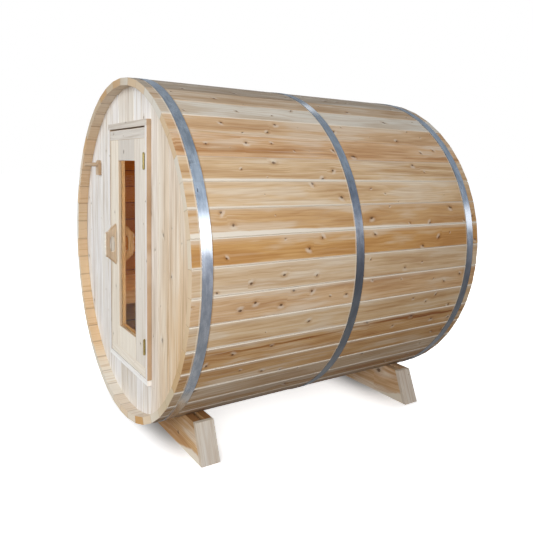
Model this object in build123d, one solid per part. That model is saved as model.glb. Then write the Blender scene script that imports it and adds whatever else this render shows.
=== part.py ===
from build123d import *
import math
import os

# A barrel sauna: a lying barrel of staves on two cradles, with a glazed door in its front end wall.
# Millimetres. +Z is up, the front faces -Y, and the ground is at zero.

# Fits
fit_gap = 0.3
moving_gap = 5.0
cut_overrun = 20.0

# Barrel of staves
barrel_diameter = 1829.0
barrel_length = 1829.0
ground_clearance = 60.0
stave_count = 46
stave_thickness = 38.0
stave_bead_height = 17.0
stave_bead_rise = 1.5
stave_outer_bevel = 4.0
stave_turn_degrees = 1.2
stave_group_names = ["top_right", "upper_right", "lower_right", "bottom_right",
                     "bottom_left", "lower_left", "upper_left", "top_left"]

# Steel bands
band_width = 51.0
band_thickness = 1.5
band_end_margin = 45.0
band_mouth = 48.0
band_mouth_stave_count = 30
band_ear_height = 32.0
band_ear_thickness = 5.0
band_bolt_height_share = 0.6
band_bolt_radius = 5.0

# Cradles
cradle_inset = 224.0
cradle_width = 102.0
cradle_height = 190.0
cradle_bottom_length = 1326.0
cradle_top_length = 1174.0
cradle_plank_thickness = 38.0
cradle_end_thickness = 22.0

# End walls
wall_recess = 57.0
wall_thickness = 35.0
croze_depth = 10.0
wall_board_width = 127.0
wall_edge_board_width = 94.0
wall_door_board_count = 5
board_bevel = 4.0
tongue_length = 8.0
tongue_thickness = 9.0

# Door frame, set between the heights of wall left over and under it
frame_width = 620.0
over_door_height = 194.2
under_door_height = 220.2
frame_projection = 22.0
jamb_thickness = 26.0
head_thickness = 32.0
sill_thickness = 28.0
stop_height = 12.0
stop_thickness = 11.0

# Door leaf
leaf_setback = 1.0
leaf_top_gap = 8.0
leaf_thickness = 40.0
leaf_stile_width = 144.0
top_rail_height = 54.0
bottom_rail_height = 53.0
upper_panel_height = 112.0
lower_panel_height = 125.0
leaf_bevel = 2.0
glass_thickness = 6.0
glass_setback = 14.0
glass_groove_depth = 10.0

# Handles, one on each face of the leaf
handle_inset = 92.0
handle_length = 243.0
handle_grip_length = 125.0
handle_reach = 66.0
handle_thickness = 25.0
handle_slot_length = 88.0
handle_slot_width = 24.0
handle_foot = 11.0

# Butt hinges
hinge_length = 76.0
hinge_inset = 167.0
hinge_knuckle_radius = 5.5
hinge_pin_radius = 2.5
hinge_leaf_thickness = 2.0
hinge_leaf_depth = 32.0
hinge_running_gap = 0.1
hinge_slot_gap = 0.6

# Wall peg
peg_edge_inset = 175.0
peg_turn_degrees = 51.7
peg_plate_height = 91.0
peg_plate_width = 54.0
peg_plate_thickness = 18.0
peg_reach = 95.0
peg_radius = 12.0

# Floor
floor_step = 52.0
floor_board_count = 8
floor_edge_margin = 19.0
floor_board_gap = 10.0
floor_board_thickness = 28.0
floor_end_gap = 3.0
sleeper_thickness = 38.0
sleeper_count = 3
sleeper_margin = 160.0

# Benches
bench_height = 387.0
bench_doorway_gap = 5.0
bench_edge_margin = 10.0
bench_slat_count = 5
bench_slat_gap = 10.0
bench_slat_thickness = 38.0
bench_fascia_height = 82.0
bench_fascia_thickness = 22.0
bench_bearer_height = 60.0
bench_bearer_thickness = 45.0
bench_bearer_count = 3
bench_bearer_margin = 150.0
bench_leg_width = 45.0

# Places worked out from the sizes above
outer_radius = barrel_diameter / 2
inner_radius = outer_radius - stave_thickness
stave_angle = 360 / stave_count
half_angle = math.radians(stave_angle / 2)
stave_face_width = 2 * outer_radius * math.tan(half_angle)
corner_radius = math.hypot(outer_radius, stave_face_width / 2 - stave_outer_bevel)
axis_height = ground_clearance + corner_radius
front_overhang = peg_reach - wall_recess
front_y = -(barrel_length - front_overhang) / 2
rear_y = front_y + barrel_length
middle_y = (front_y + rear_y) / 2
wall_radius = inner_radius + croze_depth - fit_gap
wall_front_y = front_y + wall_recess
wall_inside_y = wall_front_y + wall_thickness
rear_wall_y = rear_y - wall_recess
rear_inside_y = rear_wall_y - wall_thickness

frame_half = frame_width / 2
frame_front_y = wall_front_y - frame_projection
frame_top_z = axis_height + wall_radius - over_door_height
frame_bottom_z = axis_height - wall_radius + under_door_height
doorway_half = frame_half - jamb_thickness
doorway_top_z = frame_top_z - head_thickness
doorway_bottom_z = frame_bottom_z + sill_thickness
stop_y = wall_inside_y - stop_thickness

leaf_half = doorway_half - moving_gap
leaf_top_z = doorway_top_z - leaf_top_gap
leaf_bottom_z = doorway_bottom_z + moving_gap
leaf_front_y = frame_front_y + leaf_setback
leaf_back_y = leaf_front_y + leaf_thickness
stile_top_z = leaf_top_z - top_rail_height
stile_bottom_z = leaf_bottom_z + bottom_rail_height
glass_half = leaf_half - leaf_stile_width
glass_top_z = stile_top_z - upper_panel_height
glass_bottom_z = stile_bottom_z + lower_panel_height
glass_y = leaf_front_y + glass_setback
handle_x = -leaf_half + handle_inset
handle_z = (leaf_top_z + leaf_bottom_z) / 2

hinge_x = (leaf_half + doorway_half) / 2
hinge_y = frame_front_y - hinge_knuckle_radius - fit_gap
hinge_heights = [leaf_top_z - hinge_inset, leaf_bottom_z + hinge_inset]

peg_x = -(wall_radius - peg_edge_inset) * math.sin(math.radians(peg_turn_degrees))
peg_z = axis_height + (wall_radius - peg_edge_inset) * math.cos(math.radians(peg_turn_degrees))

floor_top_z = doorway_bottom_z - floor_step
floor_under_z = floor_top_z - floor_board_thickness
floor_half = math.sqrt(inner_radius ** 2 - (axis_height - floor_under_z) ** 2) - floor_edge_margin
bench_top_z = floor_top_z + bench_height
bench_under_z = bench_top_z - bench_slat_thickness
bearer_under_z = bench_under_z - bench_bearer_height
bench_front_x = frame_half + bench_doorway_gap
bench_slat_x = bench_front_x + bench_fascia_thickness + fit_gap
bench_wall_x = math.sqrt(inner_radius ** 2 - (axis_height - bench_under_z) ** 2) - bench_edge_margin


def block(low, high):
    """A box between its lowest and highest corners."""
    size = [b - a for a, b in zip(low, high)]
    middle = [(a + b) / 2 for a, b in zip(low, high)]
    return Pos(*middle) * Box(*size)


def beveled_block(low, high, bevel, axis):
    """A board with its four long edges eased, the long way being the given axis."""
    board = block(low, high)
    return chamfer(board.edges().filter_by(axis), bevel)


def lengthwise(outline, start_y, length):
    """Carry an outline drawn across the barrel (X across, Z up) along it from start_y."""
    section = make_face(outline)
    return Pos(0, start_y + length, 0) * extrude(Plane.XZ * section, length)


def spread(first, last, count):
    """Evenly spaced places from first to last."""
    return [first + (last - first) * k / (count - 1) for k in range(count)]


def barrel_slug(radius, start_y, end_y):
    """A slug on the barrel's axis whose flats lie along the staves, at a distance from the axis."""
    across_corners = radius / math.cos(half_angle)
    outline = RegularPolygon(across_corners, stave_count, rotation=90 - stave_turn_degrees)
    slug = extrude(Plane.XZ * outline, end_y - start_y)
    return Pos(0, end_y, axis_height) * slug


def mirrored(solids):
    """The same pieces on the other side of the barrel."""
    return [mirror(solid, about=Plane.YZ) for solid in solids]


# Staves

def stave_side(radius, hand):
    """A point on the stave's joint face at a distance from the axis, right hand 1 and left hand -1."""
    across = radius * math.sin(half_angle) - fit_gap / 2 * math.cos(half_angle)
    up = radius * math.cos(half_angle) + fit_gap / 2 * math.sin(half_angle)
    return (hand * across, up)


def bead_outline(hand, height):
    """The ends and the crown of the round on a joint face, from its outer end to its inner end."""
    middle_radius = (outer_radius + inner_radius) / 2
    middle = stave_side(middle_radius, hand)
    crown = (middle[0] + stave_bead_rise * math.cos(half_angle),
             middle[1] - hand * stave_bead_rise * math.sin(half_angle))
    outer = stave_side(middle_radius + height / 2, hand)
    inner = stave_side(middle_radius - height / 2, hand)
    return outer, crown, inner


def stave_outline():
    """Flat faces, eased outer edges, a bead on the right joint face and a cove on the left."""
    bead_top, bead_crown, bead_foot = bead_outline(1, stave_bead_height)
    cove_top, cove_crown, cove_foot = bead_outline(-1, stave_bead_height + 2 * fit_gap)
    outer_side = outer_radius / math.cos(half_angle) - stave_outer_bevel
    outer_half = outer_radius * math.tan(half_angle) - stave_outer_bevel
    inner_corner = inner_radius / math.cos(half_angle)
    top = Polyline(cove_top, stave_side(outer_side, -1), (-outer_half, outer_radius),
                   (outer_half, outer_radius), stave_side(outer_side, 1), bead_top)
    bead = ThreePointArc(bead_top, bead_crown, bead_foot)
    foot = Polyline(bead_foot, stave_side(inner_corner, 1), stave_side(inner_corner, -1), cove_foot)
    cove = ThreePointArc(cove_foot, cove_crown, cove_top)
    return [top, bead, foot, cove]


def stave():
    """One stave at the top of the barrel about the axis, with the croze cut across both ends."""
    plank = lengthwise(stave_outline(), front_y, barrel_length)
    groove_floor = inner_radius + croze_depth
    for start_y in [wall_front_y, rear_inside_y]:
        low = (-stave_face_width, start_y - fit_gap, inner_radius - cut_overrun)
        high = (stave_face_width, start_y + wall_thickness + fit_gap, groove_floor)
        plank = plank - block(low, high)
    return plank


def stave_place(number):
    """Where stave number k lies, counted from the top towards the right."""
    turn = stave_turn_degrees + stave_angle * (number + 1 / 2)
    return Pos(0, 0, axis_height) * Rot(0, turn, 0)


def stave_groups():
    """The staves in eight groups round the barrel, each group one node."""
    plank = stave()
    count = len(stave_group_names)
    edges = [round(stave_count * k / count) for k in range(count + 1)]
    groups = {}
    for k, name in enumerate(stave_group_names):
        groups["staves_" + name] = [stave_place(n) * plank for n in range(edges[k], edges[k + 1])]
    return groups


# Bands

def band(start_y):
    """A steel band with a mouth, closed by two folded ears with square bolt holes."""
    seat = outer_radius + fit_gap
    top = seat + band_thickness
    end_y = start_y + band_width
    ring = barrel_slug(top, start_y, end_y) - barrel_slug(seat, start_y, end_y)
    place = stave_place(band_mouth_stave_count)
    mouth = block((-band_mouth / 2, start_y - cut_overrun, seat - cut_overrun),
                  (band_mouth / 2, end_y + cut_overrun, top + cut_overrun))
    ring = ring - place * mouth
    for hand in [-1, 1]:
        sides = sorted([hand * band_mouth / 2, hand * (band_mouth / 2 + band_ear_thickness)])
        ear = block((sides[0], start_y, seat), (sides[1], end_y, top + band_ear_height))
        ring = ring + place * ear
    hole_width = 2 * (band_bolt_radius + fit_gap)
    hole = Box(2 * band_mouth, hole_width, hole_width)
    hole_z = outer_radius + band_ear_height * band_bolt_height_share
    return ring - place * Pos(0, start_y + band_width / 2, hole_z) * hole


def band_starts():
    """Where the front, middle and rear bands start along the barrel."""
    return {"front": front_y + band_end_margin,
            "middle": middle_y - band_width / 2,
            "rear": rear_y - band_end_margin - band_width}


# Cradles

def cradle_plank(start_y):
    """A saddle plank: leaning ends, flat shoulders and a curved seat under the barrel."""
    seat_radius = corner_radius + fit_gap
    seat_half = math.sqrt(seat_radius ** 2 - (axis_height - cradle_height) ** 2)
    end_shift = cradle_end_thickness + fit_gap
    bottom_half = cradle_bottom_length / 2 - end_shift
    top_half = cradle_top_length / 2 - end_shift
    seat_bottom = axis_height - seat_radius
    rim = Polyline((seat_half, cradle_height), (top_half, cradle_height), (bottom_half, 0),
                   (-bottom_half, 0), (-top_half, cradle_height), (-seat_half, cradle_height))
    seat = ThreePointArc((-seat_half, cradle_height), (0, seat_bottom), (seat_half, cradle_height))
    return lengthwise([rim, seat], start_y, cradle_plank_thickness)


def cradle_end(start_y):
    """A leaning board across the ends of a cradle's two planks."""
    bottom_half = cradle_bottom_length / 2
    top_half = cradle_top_length / 2
    outline = Polyline((bottom_half, 0), (top_half, cradle_height),
                       (top_half - cradle_end_thickness, cradle_height),
                       (bottom_half - cradle_end_thickness, 0), close=True)
    return lengthwise([outline], start_y, cradle_width)


def cradle_starts():
    """Where the front and rear cradles start along the barrel."""
    return {"front": front_y + cradle_inset - cradle_width / 2,
            "rear": rear_y - cradle_inset - cradle_width / 2}


def cradle_planks(start_y):
    """The two planks of a cradle, with a slot between them."""
    second_y = start_y + cradle_width - cradle_plank_thickness
    return [cradle_plank(start_y), cradle_plank(second_y)]


# End walls

def wall_board(low_x, high_x, low_z, high_z, start_y, groove, tongue):
    """An upright board with eased edges, a groove on its left edge and a tongue on its right."""
    left = low_x + fit_gap / 2
    right = high_x - fit_gap / 2
    back_y = start_y + wall_thickness
    board = block((left, start_y, low_z), (right, back_y, high_z))
    board = chamfer(board.edges().filter_by(Axis.Z), board_bevel)
    low_y = start_y + (wall_thickness - tongue_thickness) / 2
    high_y = low_y + tongue_thickness
    if tongue:
        board = board + block((right - fit_gap, low_y, low_z), (right + tongue_length, high_y, high_z))
    if groove:
        depth = left + tongue_length + fit_gap
        board = board - block((left - cut_overrun, low_y - fit_gap, low_z - cut_overrun),
                              (depth, high_y + fit_gap, high_z + cut_overrun))
    return board


def rounded_to_barrel(board, start_y):
    """Trim a wall board to the edge that sits in the croze."""
    return board & barrel_slug(wall_radius, start_y - cut_overrun, start_y + wall_thickness + cut_overrun)


def wall_boards(joints, low_z, high_z, start_y):
    """Boards between the joints, tongued together and trimmed to the barrel."""
    boards = []
    last = len(joints) - 2
    for k, (low_x, high_x) in enumerate(zip(joints, joints[1:])):
        board = wall_board(low_x, high_x, low_z, high_z, start_y, k > 0, k < last)
        boards.append(rounded_to_barrel(board, start_y))
    return boards


def side_joints():
    """The joints from the door frame out to the barrel, on the right."""
    joints = [frame_half, frame_half + wall_edge_board_width]
    while joints[-1] + wall_board_width + wall_board_width / 2 < wall_radius:
        joints.append(joints[-1] + wall_board_width)
    return joints + [wall_radius]


def front_wall():
    """The four fields of boards round the door frame."""
    wall_top_z = axis_height + wall_radius
    wall_bottom_z = axis_height - wall_radius
    right = side_joints()
    left = [-x for x in reversed(right)]
    across = spread(-frame_half, frame_half, wall_door_board_count + 1)
    return {"front_wall_right": wall_boards(right, wall_bottom_z, wall_top_z, wall_front_y),
            "front_wall_left": wall_boards(left, wall_bottom_z, wall_top_z, wall_front_y),
            "front_wall_over_door": wall_boards(across, frame_top_z, wall_top_z, wall_front_y),
            "front_wall_under_door": wall_boards(across, wall_bottom_z, frame_bottom_z, wall_front_y)}


def rear_wall():
    """The plain rear wall, of equal boards."""
    count = round(2 * wall_radius / wall_board_width)
    joints = spread(-wall_radius, wall_radius, count + 1)
    return wall_boards(joints, axis_height - wall_radius, axis_height + wall_radius, rear_inside_y)


# Door frame

def jamb():
    """The right jamb, with the stop that the leaf closes against."""
    outline = Polyline((frame_half - fit_gap, frame_front_y), (frame_half - fit_gap, wall_inside_y),
                       (doorway_half - stop_height, wall_inside_y), (doorway_half - stop_height, stop_y),
                       (doorway_half, stop_y), (doorway_half, frame_front_y), close=True)
    face = make_face(outline)
    height = doorway_top_z - doorway_bottom_z - 2 * fit_gap
    return extrude(Pos(0, 0, doorway_bottom_z + fit_gap) * face, height)


def cross_member(low_z, high_z, stop_low_z, stop_high_z):
    """The head or the sill, the full width of the frame, with its stop between the jambs' stops."""
    stop_half = doorway_half - stop_height - fit_gap
    beam = block((-frame_half, frame_front_y, low_z), (frame_half, wall_inside_y, high_z))
    stop = block((-stop_half, stop_y, stop_low_z), (stop_half, wall_inside_y, stop_high_z))
    return beam + stop


def frame_head():
    """The head over the door."""
    return cross_member(doorway_top_z, frame_top_z - fit_gap, doorway_top_z - stop_height, doorway_top_z)


def frame_sill():
    """The sill under the door."""
    return cross_member(frame_bottom_z + fit_gap, doorway_bottom_z,
                        doorway_bottom_z, doorway_bottom_z + stop_height)


# Door leaf

def glass_groove(low, high):
    """The cut that holds the edge of the glass, between two corners in X and Z."""
    return block((low[0], glass_y - fit_gap, low[1]),
                 (high[0], glass_y + glass_thickness + fit_gap, high[1]))


def leaf_rail(low_z, high_z):
    """A rail across the full width of the leaf."""
    return beveled_block((-leaf_half, leaf_front_y, low_z), (leaf_half, leaf_back_y, high_z),
                         leaf_bevel, Axis.X)


def leaf_stile():
    """The right stile, grooved along its inner edge for the glass and the panels."""
    low_z = stile_bottom_z + fit_gap
    high_z = stile_top_z - fit_gap
    board = beveled_block((glass_half, leaf_front_y, low_z), (leaf_half, leaf_back_y, high_z),
                          leaf_bevel, Axis.Z)
    return board - glass_groove((glass_half - cut_overrun, low_z - cut_overrun),
                                (glass_half + glass_groove_depth, high_z + cut_overrun))


def leaf_panel(low_z, high_z, groove_low_z, groove_high_z):
    """A short panel between the stiles, tongued into them, with a groove on the edge by the glass."""
    half = glass_half - fit_gap
    tongue_half = glass_half + glass_groove_depth - fit_gap
    board = beveled_block((-half, leaf_front_y, low_z + fit_gap), (half, leaf_back_y, high_z - fit_gap),
                          leaf_bevel, Axis.Z)
    tongue = block((-tongue_half, glass_y, low_z + fit_gap),
                   (tongue_half, glass_y + glass_thickness, high_z - fit_gap))
    return board + tongue - glass_groove((-leaf_half, groove_low_z), (leaf_half, groove_high_z))


def upper_panel():
    """The panel over the glass."""
    return leaf_panel(glass_top_z, stile_top_z, glass_top_z - cut_overrun, glass_top_z + glass_groove_depth)


def lower_panel():
    """The panel under the glass."""
    return leaf_panel(stile_bottom_z, glass_bottom_z,
                      glass_bottom_z - glass_groove_depth, glass_bottom_z + cut_overrun)


def door_glass():
    """The tinted pane, held in the grooves all round."""
    hold = glass_groove_depth - fit_gap
    return block((-glass_half - hold, glass_y, glass_bottom_z - hold),
                 (glass_half + hold, glass_y + glass_thickness, glass_top_z + hold))


def handle(face_y, hand):
    """A half-hexagon grip on edge to the leaf, with a slot for the fingers; hand -1 is outside."""
    grip_y = face_y + hand * handle_reach
    foot_y = face_y + hand * fit_gap
    outline = Polyline((foot_y, handle_z - handle_length / 2), (grip_y, handle_z - handle_grip_length / 2),
                       (grip_y, handle_z + handle_grip_length / 2), (foot_y, handle_z + handle_length / 2),
                       close=True)
    slot_y = face_y + hand * (handle_foot + handle_slot_width / 2)
    slot = Pos(slot_y, handle_z) * SlotOverall(handle_slot_length, handle_slot_width, rotation=90)
    section = make_face(outline) - slot
    return Pos(handle_x - handle_thickness / 2, 0, 0) * extrude(Plane.YZ * section, handle_thickness)


# Hinges

def knuckle(low_z, high_z):
    """A length of hinge knuckle."""
    return Pos(hinge_x, hinge_y, (low_z + high_z) / 2) * Cylinder(hinge_knuckle_radius, high_z - low_z)


def hinge_flange(low_x, high_x, low_z, high_z, start_y):
    """The flat part of a hinge leaf that lies between the door's edge and the jamb."""
    return block((low_x, start_y, low_z), (high_x, hinge_y + hinge_leaf_depth, high_z))


def hinge_thirds(middle_z):
    """The heights where the three knuckles of a hinge start and end."""
    return spread(middle_z - hinge_length / 2, middle_z + hinge_length / 2, 4)


def hinge_frame_leaf(middle_z):
    """The fixed leaf: its flange on the jamb, the two end knuckles and the pin riveted in them."""
    bottom, first, second, top = hinge_thirds(middle_z)
    low_x = doorway_half - fit_gap - hinge_leaf_thickness
    high_x = doorway_half - fit_gap
    back_y = hinge_y + hinge_knuckle_radius + fit_gap
    leaf = hinge_flange(low_x, high_x, bottom, top, back_y)
    for low_z, high_z in [(bottom, first), (second, top)]:
        tab = hinge_flange(low_x, high_x, low_z, high_z, hinge_y)
        leaf = leaf + tab + knuckle(low_z, high_z)
    return leaf + Pos(hinge_x, hinge_y, middle_z) * Cylinder(hinge_pin_radius, hinge_length)


def hinge_door_leaf(middle_z):
    """The moving leaf: its flange on the door's edge and the middle knuckle."""
    bottom, first, second, top = hinge_thirds(middle_z)
    low_x = leaf_half + fit_gap
    high_x = low_x + hinge_leaf_thickness
    back_y = hinge_y + hinge_knuckle_radius + fit_gap
    leaf = hinge_flange(low_x, high_x, bottom, top, back_y)
    low_z = first + hinge_slot_gap
    high_z = second - hinge_slot_gap
    tab = hinge_flange(low_x, high_x, low_z, high_z, hinge_y)
    leaf = leaf + tab + knuckle(low_z, high_z)
    bore = Cylinder(hinge_pin_radius + hinge_running_gap, 2 * hinge_length)
    return leaf - Pos(hinge_x, hinge_y, middle_z) * bore


# Wall peg

def wall_peg():
    """A round-topped wooden plate on the front wall, left of the door, with a round pin."""
    half = peg_plate_width / 2
    bottom_z = peg_z - peg_plate_height / 2
    shoulder_z = peg_z + peg_plate_height / 2 - half
    sides = Polyline((peg_x + half, shoulder_z), (peg_x + half, bottom_z),
                     (peg_x - half, bottom_z), (peg_x - half, shoulder_z))
    crown = ThreePointArc((peg_x - half, shoulder_z), (peg_x, shoulder_z + half), (peg_x + half, shoulder_z))
    plate_y = wall_front_y - fit_gap - peg_plate_thickness
    plate = lengthwise([sides, crown], plate_y, peg_plate_thickness)
    tip_y = wall_front_y - peg_reach
    length = plate_y - tip_y + peg_plate_thickness / 2
    pin = Cylinder(peg_radius, length, rotation=(90, 0, 0))
    return plate + Pos(peg_x, tip_y + length / 2, shoulder_z) * pin


# Floor

def floor_boards():
    """Boards along the barrel, side by side with gaps to drain."""
    pitch = (2 * floor_half + floor_board_gap) / floor_board_count
    boards = []
    for k in range(floor_board_count):
        low_x = -floor_half + pitch * k
        low = (low_x, wall_inside_y + floor_end_gap, floor_under_z)
        high = (low_x + pitch - floor_board_gap, rear_inside_y - floor_end_gap, floor_top_z)
        boards.append(beveled_block(low, high, leaf_bevel, Axis.Y))
    return boards


def floor_sleepers():
    """Cross timbers under the floor, rounded to the inside of the barrel."""
    room = barrel_slug(inner_radius - fit_gap, wall_inside_y, rear_inside_y)
    first = wall_inside_y + sleeper_margin
    last = rear_inside_y - sleeper_margin
    sleepers = []
    for y in spread(first, last, sleeper_count):
        low = (-inner_radius, y - sleeper_thickness / 2, axis_height - outer_radius)
        high = (inner_radius, y + sleeper_thickness / 2, floor_under_z)
        sleepers.append(block(low, high) & room)
    return sleepers


# Benches

def bench_slats():
    """The seat slats of the right bench, along the barrel."""
    pitch = (bench_wall_x - bench_slat_x + bench_slat_gap) / bench_slat_count
    slats = []
    for k in range(bench_slat_count):
        low_x = bench_slat_x + pitch * k
        low = (low_x, wall_inside_y + floor_end_gap, bench_under_z)
        high = (low_x + pitch - bench_slat_gap, rear_inside_y - floor_end_gap, bench_top_z)
        slats.append(beveled_block(low, high, leaf_bevel, Axis.Y))
    return slats


def bench_fascia():
    """The board along the front edge of the right bench."""
    low = (bench_front_x, wall_inside_y + floor_end_gap, bench_top_z - bench_fascia_height)
    high = (bench_front_x + bench_fascia_thickness, rear_inside_y - floor_end_gap, bench_top_z)
    return beveled_block(low, high, leaf_bevel, Axis.Y)


def bench_places():
    """Where the bench bearers and legs stand along the barrel."""
    first = wall_inside_y + bench_bearer_margin
    last = rear_inside_y - bench_bearer_margin
    return spread(first, last, bench_bearer_count)


def bench_bearers():
    """Bearers under both benches, from the fascia to the staves."""
    room = barrel_slug(inner_radius - fit_gap, wall_inside_y, rear_inside_y)
    bearers = []
    for y in bench_places():
        low = (bench_slat_x, y - bench_bearer_thickness / 2, bearer_under_z)
        high = (outer_radius, y + bench_bearer_thickness / 2, bench_under_z)
        bearers.append(block(low, high))
    return [bearer & room for bearer in bearers + mirrored(bearers)]


def bench_legs():
    """Legs under the front of the right bench's bearers, standing on the floor."""
    legs = []
    for y in bench_places():
        low = (bench_slat_x, y - bench_bearer_thickness / 2, floor_top_z)
        high = (bench_slat_x + bench_leg_width, y + bench_bearer_thickness / 2, bearer_under_z)
        legs.append(block(low, high))
    return legs


def all_nodes():
    """Every sub-part, by the name of its node."""
    nodes = stave_groups()
    for name, start_y in band_starts().items():
        nodes["band_" + name] = [band(start_y)]
    ends = []
    for name, start_y in cradle_starts().items():
        nodes["cradle_" + name] = cradle_planks(start_y)
        ends.append(cradle_end(start_y))
    nodes["cradle_ends"] = ends + mirrored(ends)

    nodes.update(front_wall())
    nodes["rear_wall"] = rear_wall()

    nodes["frame_right_jamb"] = [jamb()]
    nodes["frame_left_jamb"] = mirrored([jamb()])
    nodes["frame_head"] = [frame_head()]
    nodes["frame_sill"] = [frame_sill()]
    nodes["wall_peg"] = [wall_peg()]

    nodes["door_top_rail"] = [leaf_rail(stile_top_z, leaf_top_z)]
    nodes["door_bottom_rail"] = [leaf_rail(leaf_bottom_z, stile_bottom_z)]
    nodes["door_right_stile"] = [leaf_stile()]
    nodes["door_left_stile"] = mirrored([leaf_stile()])
    nodes["door_upper_panel"] = [upper_panel()]
    nodes["door_lower_panel"] = [lower_panel()]
    nodes["door_glass"] = [door_glass()]
    nodes["handle_outside"] = [handle(leaf_front_y, -1)]
    nodes["handle_inside"] = [handle(leaf_back_y, 1)]

    nodes["hinge_door_leaves"] = [hinge_door_leaf(z) for z in hinge_heights]
    nodes["hinge_frame_leaves"] = [hinge_frame_leaf(z) for z in hinge_heights]

    nodes["floor_boards"] = floor_boards()
    nodes["floor_sleepers"] = floor_sleepers()
    nodes["bench_right_slats"] = bench_slats()
    nodes["bench_left_slats"] = mirrored(bench_slats())
    nodes["bench_right_fascia"] = [bench_fascia()]
    nodes["bench_left_fascia"] = mirrored([bench_fascia()])
    nodes["bench_bearers"] = bench_bearers()
    nodes["bench_legs"] = bench_legs() + mirrored(bench_legs())
    return nodes


def write_nodes():
    """One STEP file for each node."""
    os.makedirs("parts", exist_ok=True)
    for name, pieces in all_nodes().items():
        solids = [solid for piece in pieces for solid in piece.solids()]
        shape = solids[0] if len(solids) == 1 else Compound(children=solids)
        export_step(shape, "parts/" + name + ".step")


write_nodes()
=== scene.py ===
# %% [markdown]
# # A barrel sauna
# The sauna is a lying barrel of cedar staves on two cradles, drawn together by three steel bands,
# with a glazed door in its boarded front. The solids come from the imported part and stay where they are.
# This lesson gives them light, wood, steel and glass, and adds the small pieces that a maker fits last.

import math
from types import SimpleNamespace

import bmesh
import bpy
import numpy as np
from mathutils import Matrix, Vector


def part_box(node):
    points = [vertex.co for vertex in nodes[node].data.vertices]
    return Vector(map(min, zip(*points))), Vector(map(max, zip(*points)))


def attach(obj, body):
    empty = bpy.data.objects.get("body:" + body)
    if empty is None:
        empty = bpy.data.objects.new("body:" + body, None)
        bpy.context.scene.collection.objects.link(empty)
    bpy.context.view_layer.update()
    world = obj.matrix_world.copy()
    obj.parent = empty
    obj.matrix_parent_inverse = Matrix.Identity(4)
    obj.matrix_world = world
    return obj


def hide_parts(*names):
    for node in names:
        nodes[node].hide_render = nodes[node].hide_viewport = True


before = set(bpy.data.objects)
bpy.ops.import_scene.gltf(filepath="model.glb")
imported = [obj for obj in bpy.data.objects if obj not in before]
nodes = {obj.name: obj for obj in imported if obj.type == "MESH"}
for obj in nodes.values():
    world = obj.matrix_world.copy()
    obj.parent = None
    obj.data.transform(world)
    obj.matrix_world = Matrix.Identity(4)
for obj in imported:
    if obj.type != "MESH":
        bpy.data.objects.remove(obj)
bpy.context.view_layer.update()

# %% [markdown]
# ## Measures
# The staves are alike and stand side by side round one axis, so a few values say where each one lies.
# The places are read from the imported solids. The count and the small turn of the ring are the part's own.

# %% Measures of the barrel
stave_count = 46
stave_turn = math.radians(1.2)
stave_angle = 2 * math.pi / stave_count
stave_thickness = 0.038
stave_boxes = [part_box(name) for name in nodes if name.startswith("staves_")]
staves_low = np.min([low for low, high in stave_boxes], axis=0)
staves_high = np.max([high for low, high in stave_boxes], axis=0)
barrel_middle = Vector((staves_low + staves_high) / 2)
axis_height = barrel_middle.z
barrel_radius = (staves_high[2] - staves_low[2]) / 2 * math.cos(stave_angle / 2)
stave_width = barrel_radius * stave_angle
band_boxes = {name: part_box(name) for name in ("band_front", "band_middle", "band_rear")}
band_middles = {name: (low.y + high.y) / 2 for name, (low, high) in band_boxes.items()}
print("barrel radius", round(barrel_radius, 4), "axis height", round(axis_height, 4))

# %% [markdown]
# ## Camera
# The camera was solved from the rims of the barrel and the lines of the door. It stands to the right of
# the door, a little over the barrel's axis. The photograph is cropped off centre, so the lens is shifted.

# %% Camera
frame_pixels = 533
focal_pixels = 561.3
camera_from_middle = Vector((2.9873, -1.8763, 0.4773))
camera_yaw = math.radians(56.361)
camera_pitch = math.radians(-5.713)
camera_roll = math.radians(1.139)

camera_data = bpy.data.cameras.new("photo_camera")
camera_data.sensor_width = 36.0
camera_data.lens = camera_data.sensor_width * focal_pixels / frame_pixels
camera_data.shift_x = -0.0215
camera_data.shift_y = -0.0847
camera = bpy.data.objects.new("photo_camera", camera_data)
turn = Matrix.Rotation(camera_yaw, 4, "Z") @ Matrix.Rotation(math.pi / 2 + camera_pitch, 4, "X")
camera.matrix_world = (Matrix.Translation(barrel_middle + camera_from_middle) @ turn
                       @ Matrix.Rotation(camera_roll, 4, "Z"))
bpy.context.scene.collection.objects.link(camera)
bpy.context.scene.camera = camera
bpy.context.scene.view_settings.view_transform = "Standard"
print("camera at", [round(x, 3) for x in camera.location], "lens", round(camera_data.lens, 2))

# %% [markdown]
# ## Words for node trees
# A shader is a graph, and a graph written out node by node is hard to read. These few helpers add one node
# each and give back its output, so that a material below reads like a sum.

# %% Helpers for node trees
def srgb(red, green, blue):
    """A screen colour of 0 to 255 as linear light: the share to the power 2.4, with the standard toe."""
    share = np.array([red, green, blue]) / 255
    linear = np.where(share > 0.04045, ((share + 0.055) / 1.055) ** 2.4, share / 12.92)
    return (*linear.tolist(), 1.0)


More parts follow.
